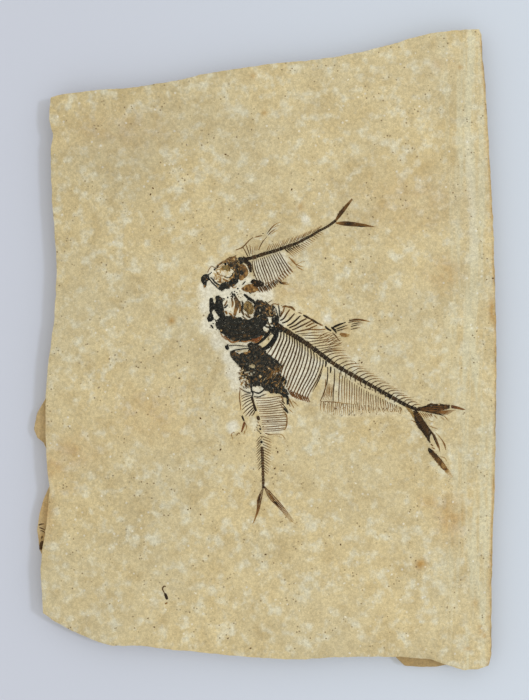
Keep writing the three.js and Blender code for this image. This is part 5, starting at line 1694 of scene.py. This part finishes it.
# %% Head
LOWER_HEAD = [
    [-6.5, 2.3], [-5, 2.7], [-2.7, 2.1], [-1.2, 0.9], [0.2, -0.2], [0.7, -1.6], [1.9, -2.1], [3.4, -3.5],
    [5.3, -4.6], [7.2, -6.9], [6.6, -7.6], [5.6, -9], [6.9, -10.7], [8.4, -11.7], [8.8, -13.4], [7.8, -15],
    [9, -16.5], [9.7, -17.6], [9.3, -19], [7.8, -19], [7.2, -18.2], [5.7, -17.4], [3.8, -17.3], [2.7, -17.6],
    [1.9, -16.5], [0.5, -16.3], [0, -15.5], [-0.8, -15], [-1.6, -14.6], [-2.5, -14.5], [-3.9, -14.5],
    [-5.4, -15.2], [-6.2, -13.4], [-6.5, -12.1], [-8.1, -10.7], [-8.6, -9.2], [-9, -7.7], [-9.8, -6.7],
    [-10.2, -6.2], [-11.9, -4.6], [-12.7, -3.5], [-13.6, -1.9], [-13.6, -0.8], [-11.9, -0.8], [-10, -1.9],
    [-8.1, -1.6], [-6.5, -1], [-5.8, 0.4],
]
LOWER_BITE = [[-9.6, -6.6], [-6.6, -6.2], [-5, -9], [-5, -14.6], [-7.6, -15.8], [-10.2, -13.4]]
LOWER_GILLS = [[0, -8], [3.6, -5.2], [6.8, -7.4], [6.4, -10.4], [8.6, -13.2], [6, -16.4], [1.6, -14.6],
               [-1.6, -13.6]]
head = [plate(
    LOWER_HEAD, 0.15, dome=0.28, rough=0.2, ragged=0.4, seed=31, mottle=0.3,
    gaps=[(-4.9, -6.6, 0.8), (-4, -6.9, 0.6), (-6.9, -9.6, 0.95), (-5.2, -9.4, 0.7), (-3.9, -9.3, 0.4),
          (-8.3, -11.7, 0.8), (-6.9, -12.9, 0.7), (2.1, -12.7, 0.3), (4.4, -7.1, 0.55), (4, -10, 0.6),
          (6.9, -16.8, 0.35), (5.2, -9.6, 0.4), (7.6, -13.6, 0.4)],
    blots=[(-10.8, -1.5, 1.2, 0.45), (-10.7, -1.6, 0.6, 0.1), (-7.3, -1.2, 0.8, 0.62), (-5.9, -0.9, 0.5, 0.6),
           (-12.6, -2, 0.6, 0.35), (3.5, -9.2, 0.9, 0.5), (4.8, -8.8, 0.7, 0.65), (2.4, -8, 0.6, 0.5),
           (1.9, -7.5, 0.3, 0.95), (-1.6, -10.7, 0.6, 0.9), (4.9, -14.4, 0.6, 0.62), (-3.4, -11.9, 0.7, 0.45),
           (-4.4, -12.6, 0.4, 0.55), (-1.6, -6.6, 0.7, 0.35), (-2, -4.4, 0.6, 0.35), (5.8, -10.9, 0.5, 0.6),
           (7.8, -14.2, 0.4, 0.9), (0.4, -9, 0.4, 0.5), (-6.4, -3.4, 0.5, 0.4)],
)]
LOWER_BARS = [
    ([[-15.3, 1.6], [-14.9, 0.8], [-14.4, 0]], 1.5, 0.08), ([[-14.9, 2], [-14.4, 1.6]], 0.7, 0.05),
    ([[-14.2, 1.5], [-12.7, 1.6], [-11.1, 1.7], [-8.5, 1.4], [-6, 1.3]], 0.4, (0.1, 0.3, 0.08)),
    ([[-13.6, -0.9], [-11.9, -0.3], [-10, 0], [-8.1, 0.3], [-5.6, 0.4]], 0.5, 0.06),
    ([[-10.9, -0.8], [-9, -0.6], [-7.4, -1.3]], 0.4, (0.7, 1.0, 0.8)),
    ([[0.5, -10.9], [-0.1, -12.2], [-1.4, -14.2]], 0.45, (0.72, 0.66, 0.5)),
    ([[-5, -14.4], [-5.1, -16.2], [-4.5, -17.6], [-5, -19.2]], 0.7, 0.06),
    ([[-4.5, -16.8], [-2.5, -17.5], [-1.2, -17], [0.2, -15.7]], 0.65, 0.07),
    ([[-4.2, -18.8], [-2.3, -19], [-0.8, -18.4], [0.8, -17.8]], 0.5, (0.08, 0.2, 0.5)),
    ([[-10, -15.3], [-8.5, -16.3], [-6.5, -17.2], [-4.8, -16.9]], 0.4, (0.6, 0.4, 0.15, 0.08)),
    ([[9.3, -18.6], [9.4, -20.2], [9.3, -22]], 1.0, (0.06, 0.1, 0.15)),
    ([[6.4, -18.6], [7.4, -19.6], [7.4, -21.2]], 0.5, (0.5, 0.55, 0.3)),
    ([[7.8, -23.5], [8.8, -24.4], [9.5, -25.4]], 0.9, (0.08, 0.12, 0.3)),
    ([[9.8, -19.6], [10.6, -21], [11.4, -22.6]], 0.45, (0.55, 0.62, 0.75)),
    ([[1, -12.4], [2.4, -10.2], [3.6, -7.9]], 0.4, (0.5, 0.62, 0.4)),
    ([[3.4, -11.4], [4.4, -9.8], [5, -8.2]], 0.4, (0.62, 0.66, 0.3)),
    ([[0, -14], [1.4, -11.6], [2.6, -9.2]], 0.3, (0.3, 0.6, 0.4)),
]
head += [lay(line, width, tone, 0.42, BLUNT, 0.1) for line, width, tone in LOWER_BARS]
head += scatter(70, LOWER_HEAD, (0.5, 1.9), (0.2, 0.42), (0.05, 0.6), 32, lean=-0.9, spread=0.8, lift=0.7)
head += scatter(56, LOWER_GILLS, (0.7, 2.6), (0.18, 0.34), (0.2, 0.8), 33, lean=1.05, spread=0.25, lift=0.72)
head += scatter(50, LOWER_BITE, (0.5, 1.7), (0.22, 0.42), (0.05, 1.0), 34, lift=0.4)
head += scatter(34, [[-8.8, -6.6], [-6.2, -12], [-6, -15.6], [-9.6, -15], [-10.6, -12.6], [-10.2, -9]],
                (0.6, 1.7), (0.28, 0.42), (0.4, 0.72), 35, lift=0.12)
finish_group("lower_fish_skull", head)

# %% Backbone, ribs and chevrons
LOWER_SPINE = [
    [-0.95, -38.8], [-0.8, -41], [-0.7, -43], [-0.62, -45.4], [-0.55, -47.9], [-0.5, -50.2], [-0.4, -52.5],
    [-0.4, -55.6],
]
body_chance = np.random.default_rng(35)
bones = backbone(LOWER_SPINE, 15, (1.35, 1.3), 0.26, 0.42, 36)
LOWER_SPINE_PIECES = [
    ([[-5, -18.8], [-4.6, -20.4], [-4.2, -21.6]], 1.1, (0.15, 0.25)),
    ([[-4.2, -21.6], [-3.8, -23.2], [-3.2, -24.6]], 1.1, (0.2, 0.1)),
    ([[-2.6, -26.6], [-2.4, -27.4], [-2.2, -28.3]], 1.4, 0.25), ([[-2.7, -28.8], [-2.2, -29.4]], 0.4, 0.6),
    ([[-1.8, -31.5], [-1.4, -32.2]], 0.85, 0.02), ([[-1.6, -33.4], [-1.2, -33.7]], 0.55, 0.05),
    ([[-1.2, -36.5], [-1, -37.5]], 1.05, 0.02), ([[-2.1, -30.2], [-1.7, -30.6]], 0.4, 0.45),
    ([[-1.1, -34.6], [-0.9, -35.4]], 0.35, 0.5),
]
bones += [lay(line, width, tone, 0.4, BLUNT) for line, width, tone in LOWER_SPINE_PIECES]
bones += comb(
    16,
    [
        [[-3.4, -19.6], [-2.8, -23], [-1.6, -26.2], [-1, -29.4], [-0.6, -32.8]],
        [[1.6, -19.4], [2.2, -22.8], [2.8, -26], [3.2, -29.2], [3.2, -32.6]],
        [[7, -18.6], [7.6, -21.8], [8.8, -25.6], [9, -29], [8.4, -32]],
    ],
    0.42, (0.55, 0.45, 0.5), body_chance, 0.1, shape=(0.6, 1, 0.8), height=0.22,
)
LOWER_EDGE = [
    ([[7.6, -24.9], [8.9, -26.2], [9.1, -28.9], [8.8, -30.9], [8.2, -32.2]], 0.55, (0.5, 0.55, 0.5, 0.7)),
    ([[0.2, -33.4], [1.6, -33.9], [2.9, -34.2]], 0.5, (0.5, 0.45, 0.6)),
    ([[2.6, -34], [5.9, -33.8], [7.4, -34.4], [8.4, -35.9]], 0.34, (0.6, 0.7, 0.7)),
    ([[3.6, -34.6], [5.6, -34.6], [7, -35.4]], 0.25, 0.8),
    ([[-9.7, -16], [-9.9, -18.9], [-9.6, -21.5], [-9.4, -24.4]], 0.5, (0.5, 0.55, 0.5, 0.7)),
    ([[6, -20.6], [7.6, -22.2], [9.3, -24.2]], 0.4, (0.55, 0.3, 0.1)),
    ([[6.2, -21.8], [7.4, -23.2], [8.4, -24.4]], 0.4, (0.5, 0.45)),
    ([[7.4, -20.6], [8.2, -21.8]], 0.5, (0.1, 0.5)),
    ([[10.3, -20.5], [11.1, -22], [11.9, -23.4]], 0.4, (0.6, 0.5, 0.7)),
    ([[9.6, -21], [10.4, -22.8]], 0.4, (0.3, 0.6)),
    ([[11.2, -20.6], [12.4, -21.4], [13.4, -22.6]], 0.35, (0.7, 0.6, 0.8)),
    ([[10, -24], [11.4, -25.2]], 0.35, (0.6, 0.8)),
]
bones += [lay(line, width, tone, 0.24, (0.6, 1, 0.6)) for line, width, tone in LOWER_EDGE]
bones += comb(
    9,
    [
        [[-5.4, -17.6], [-5.2, -18.9], [-4.9, -20.2], [-4.5, -21.9], [-4.1, -23.4], [-3.6, -24.6]],
        [[-7.4, -18], [-7.2, -19.6], [-7, -21.4], [-6.6, -23.4], [-5.6, -25], [-4.2, -25.6]],
        [[-9.2, -18.8], [-9.1, -20.5], [-8.9, -23], [-8.5, -25.4], [-7, -26.8], [-5, -26.6]],
    ],
    0.44, (0.2, 0.3, 0.5), body_chance, 0.08, shape=(0.8, 1, 0.6), height=0.22,
)
bones += comb(
    12, [[[-1.3, -34.6], [-1.2, -40.4], [-0.9, -46.4]], [[-3.4, -36.8], [-3.1, -42.6], [-2.3, -48.4]]],
    0.32, (0.25, 0.5), body_chance, 0.08, shape=(0.9, 1, 0.5), height=0.2,
)
bones += comb(
    14, [[[-0.6, -34.8], [-0.5, -41.6], [-0.1, -48.6]], [[2.9, -36.2], [2.6, -43.4], [1.5, -50]]],
    0.32, (0.35, 0.66), body_chance, 0.08, shape=(0.9, 1, 0.5), height=0.2,
)
bones += scatter(
    8, [[-3.2, -29.6], [-1.6, -29], [-1.2, -33], [-2.8, -34]], (0.5, 1), (0.2, 0.3), (0.2, 0.5), 38,
    lean=2.4, spread=0.2, lift=0.03,
)
finish_group("lower_fish_backbone_and_ribs", bones)

# %% Fins and tail
LOWER_DORSAL_FIN = [
    ([[-8.9, -26.4], [-8.6, -27.4], [-8, -28.6]], 0.85, (0.3, 0.08, 0.1), 0),
    ([[-7.9, -28.9], [-8.3, -30.6], [-9.1, -33]], 1.0, (0.35, 0.4, 0.45), 0.5),
    ([[-7.6, -29.4], [-7.1, -30.8], [-7.4, -32.4]], 0.35, (0.55, 0.7), 0),
    ([[-7.7, -32.4], [-8.1, -33.9]], 0.45, 0.66, 0),
    ([[-13.1, -34.8], [-13, -33.7], [-12.3, -33.1]], 0.34, 0.6, 0),
    ([[-12.3, -33.1], [-11.8, -33.5]], 0.3, 0.7, 0), ([[-12.8, -34.8], [-12.6, -36]], 0.4, 0.8, 0),
    ([[-11.2, -34.4], [-10.2, -33.4], [-9.6, -34]], 0.4, (0.6, 0.5, 0.7), 0),
]
fin = [lay(line, width, tone, 0.26, (0.7, 1, 0.6), rust=rust) for line, width, tone, rust in LOWER_DORSAL_FIN]
finish_group("lower_fish_dorsal_fin", fin)

tail = comb(
    3, [[[-0.8, -55.6], [-0.3, -55.6]], [[-2.6, -60], [-1.3, -60.2]], [[-2.9, -64.6], [-2.2, -64.4]],
        [[-4.6, -69.8], [-4.2, -69.4]]],
    0.5, (0.35, 0.4, 0.5, 0.8), shape=SHARP, rust=0.15,
)
tail += [lay([[-1.6, -57.4], [-2, -60], [-2.3, -62.6]], 0.9, (0.3, 0.2, 0.45), 0.26, SHARP)]
tail += comb(
    4, [[[-0.2, -54.8], [0.2, -54.8]], [[2.2, -59.6], [3.8, -58.6]], [[6.4, -63.8], [7.6, -63]],
        [[10.8, -69.2], [11.8, -68.6]]],
    0.45, (0.45, 0.45, 0.5, 0.85), height=0.24, shape=SHARP, rust=0.1,
)
tail += [
    lay([[1.6, -57.4], [3, -59.4], [4.6, -61.4]], 0.9, (0.6, 0.5, 0.4), 0.2, SHARP),
    lay([[3.4, -60.2], [4.8, -61.6], [6, -62.8]], 0.9, (0.2, 0.15, 0.4), 0.26, SHARP),
    lay([[1.8, -56.2], [2.4, -57], [3.1, -58]], 0.45, (0.5, 0.6), 0.2, SHARP),
    lay([[10, -67.6], [12, -69.4], [14.4, -70.4]], 0.3, (0.75, 0.97), 0.14, SHARP),
]
finish_group("lower_fish_tail_fin", tail)

# %% [markdown]
# ## Crumbs and chalky flecks around the fish
#
# Grains of bone and a little worm-like trace lie about on the slab, and so do small chalky flecks. They are
# placed where the photograph shows the largest ones; the finer ones are part of the stone's colour. The lower
# left ledge lies deeper, so its dark streaks are laid lower by that drop.

# %% Lay the crumbs and flecks
DARK_CRUMBS = [
    (11, 64), (-15.5, 78), (-14.5, 77.5), (-45.5, 62), (-44.5, 64.5), (-46.5, -107.5), (-14.5, -115.5),
    (-44, -111), (26, -74.5), (30.5, -78), (-5.5, -119.5), (0.5, -82), (-30.5, -64), (-29.5, -63.5),
    (-25.5, -66), (-17.5, -40), (-25.5, -27.5), (-60.5, -50.5), (-34, -11.5), (42, 46), (43.5, 53),
    (24.5, 36.5), (34.5, 35), (89, 28), (91.5, 28.5), (4.8, -39.5), (5.4, -41), (4.2, -47.6), (36.6, -5.4),
    (38, -4.4), (39, -5.2),
]
PALE_FLECKS = [
    (12.5, -93.5), (32, -93.5), (51, -90), (78, -95), (4.5, -100), (6.5, -101.5), (26.5, -105), (32.5, -107),
    (44.5, -108), (37.5, -112.5), (14, -104.5), (-27.5, -97.5), (-45.5, -100), (-39.5, -104), (-76.5, -108),
    (-2, -90), (40, -96), (54.5, -100), (57, -105), (-48.5, -98), (-47.5, -16), (-46.5, -19.5), (-45, -42),
    (22.5, -39), (27.5, -37), (19.5, -48), (36.5, -53.5), (72.5, -54), (30.5, -64), (33, 91.5), (37.5, 101),
    (58.5, 99), (21.5, 71), (-11, 58), (31.5, 114), (33.5, 108), (60.5, 118.5), (0.2, -54.2),
]
DARK_CRUMB_SIZES = (0.45, 0.8)
PALE_FLECK_SIZES = (0.6, 1.1)
CRUMB_TONE = 0.42
CHALK_TONE = 1.1
crumb_chance = np.random.default_rng(41)
strewn = []
for x, y in DARK_CRUMBS:
    strewn.append(crumb(x, y, crumb_chance.uniform(*DARK_CRUMB_SIZES), CRUMB_TONE, turn=x, lift=-0.05))
for x, y in PALE_FLECKS:
    strewn.append(crumb(x, y, crumb_chance.uniform(*PALE_FLECK_SIZES), CHALK_TONE, turn=y, lift=-0.1))
WORM_TRACE = [
    ([[-39.4, -94.9], [-39.9, -94.6], [-40.4, -95], [-40.7, -95.8], [-40.2, -96.9], [-39.9, -97.6]], 0.6,
     0.38),
    ([[-39.7, -97.5], [-39.2, -98.9], [-38.8, -100]], 1.3, 0.14),
    ([[-39.7, -101.8], [-38.7, -101.3]], 0.7, 0.55),
]
strewn += [lay(line, width, tone, 0.2, BLUNT) for line, width, tone in WORM_TRACE]
LEDGE_STREAKS = [
    ([[-90.6, -70.6], [-89.6, -70.2], [-88.4, -70.1]], 0.6),
    ([[-90.4, -71.6], [-89.4, -71.9], [-88, -72.6]], 0.5),
    ([[-90, -72.8], [-89, -73], [-88.2, -73.6]], 0.4), ([[-89, -77], [-89.6, -78.6], [-89.9, -80.4]], 1.5),
    ([[-89.2, -75], [-89.5, -76]], 0.6),
]
LEDGE_DROP = -2.75
strewn += [lay(line, width, 0.3, 0.25, BLUNT, LEDGE_DROP) for line, width in LEDGE_STREAKS]
join_bones("stray_crumbs_and_flecks", "fossil_bone", strewn)

# %% Put the patterns away
for pattern in (rod, vertebra, splinter):
    bpy.data.objects.remove(pattern)
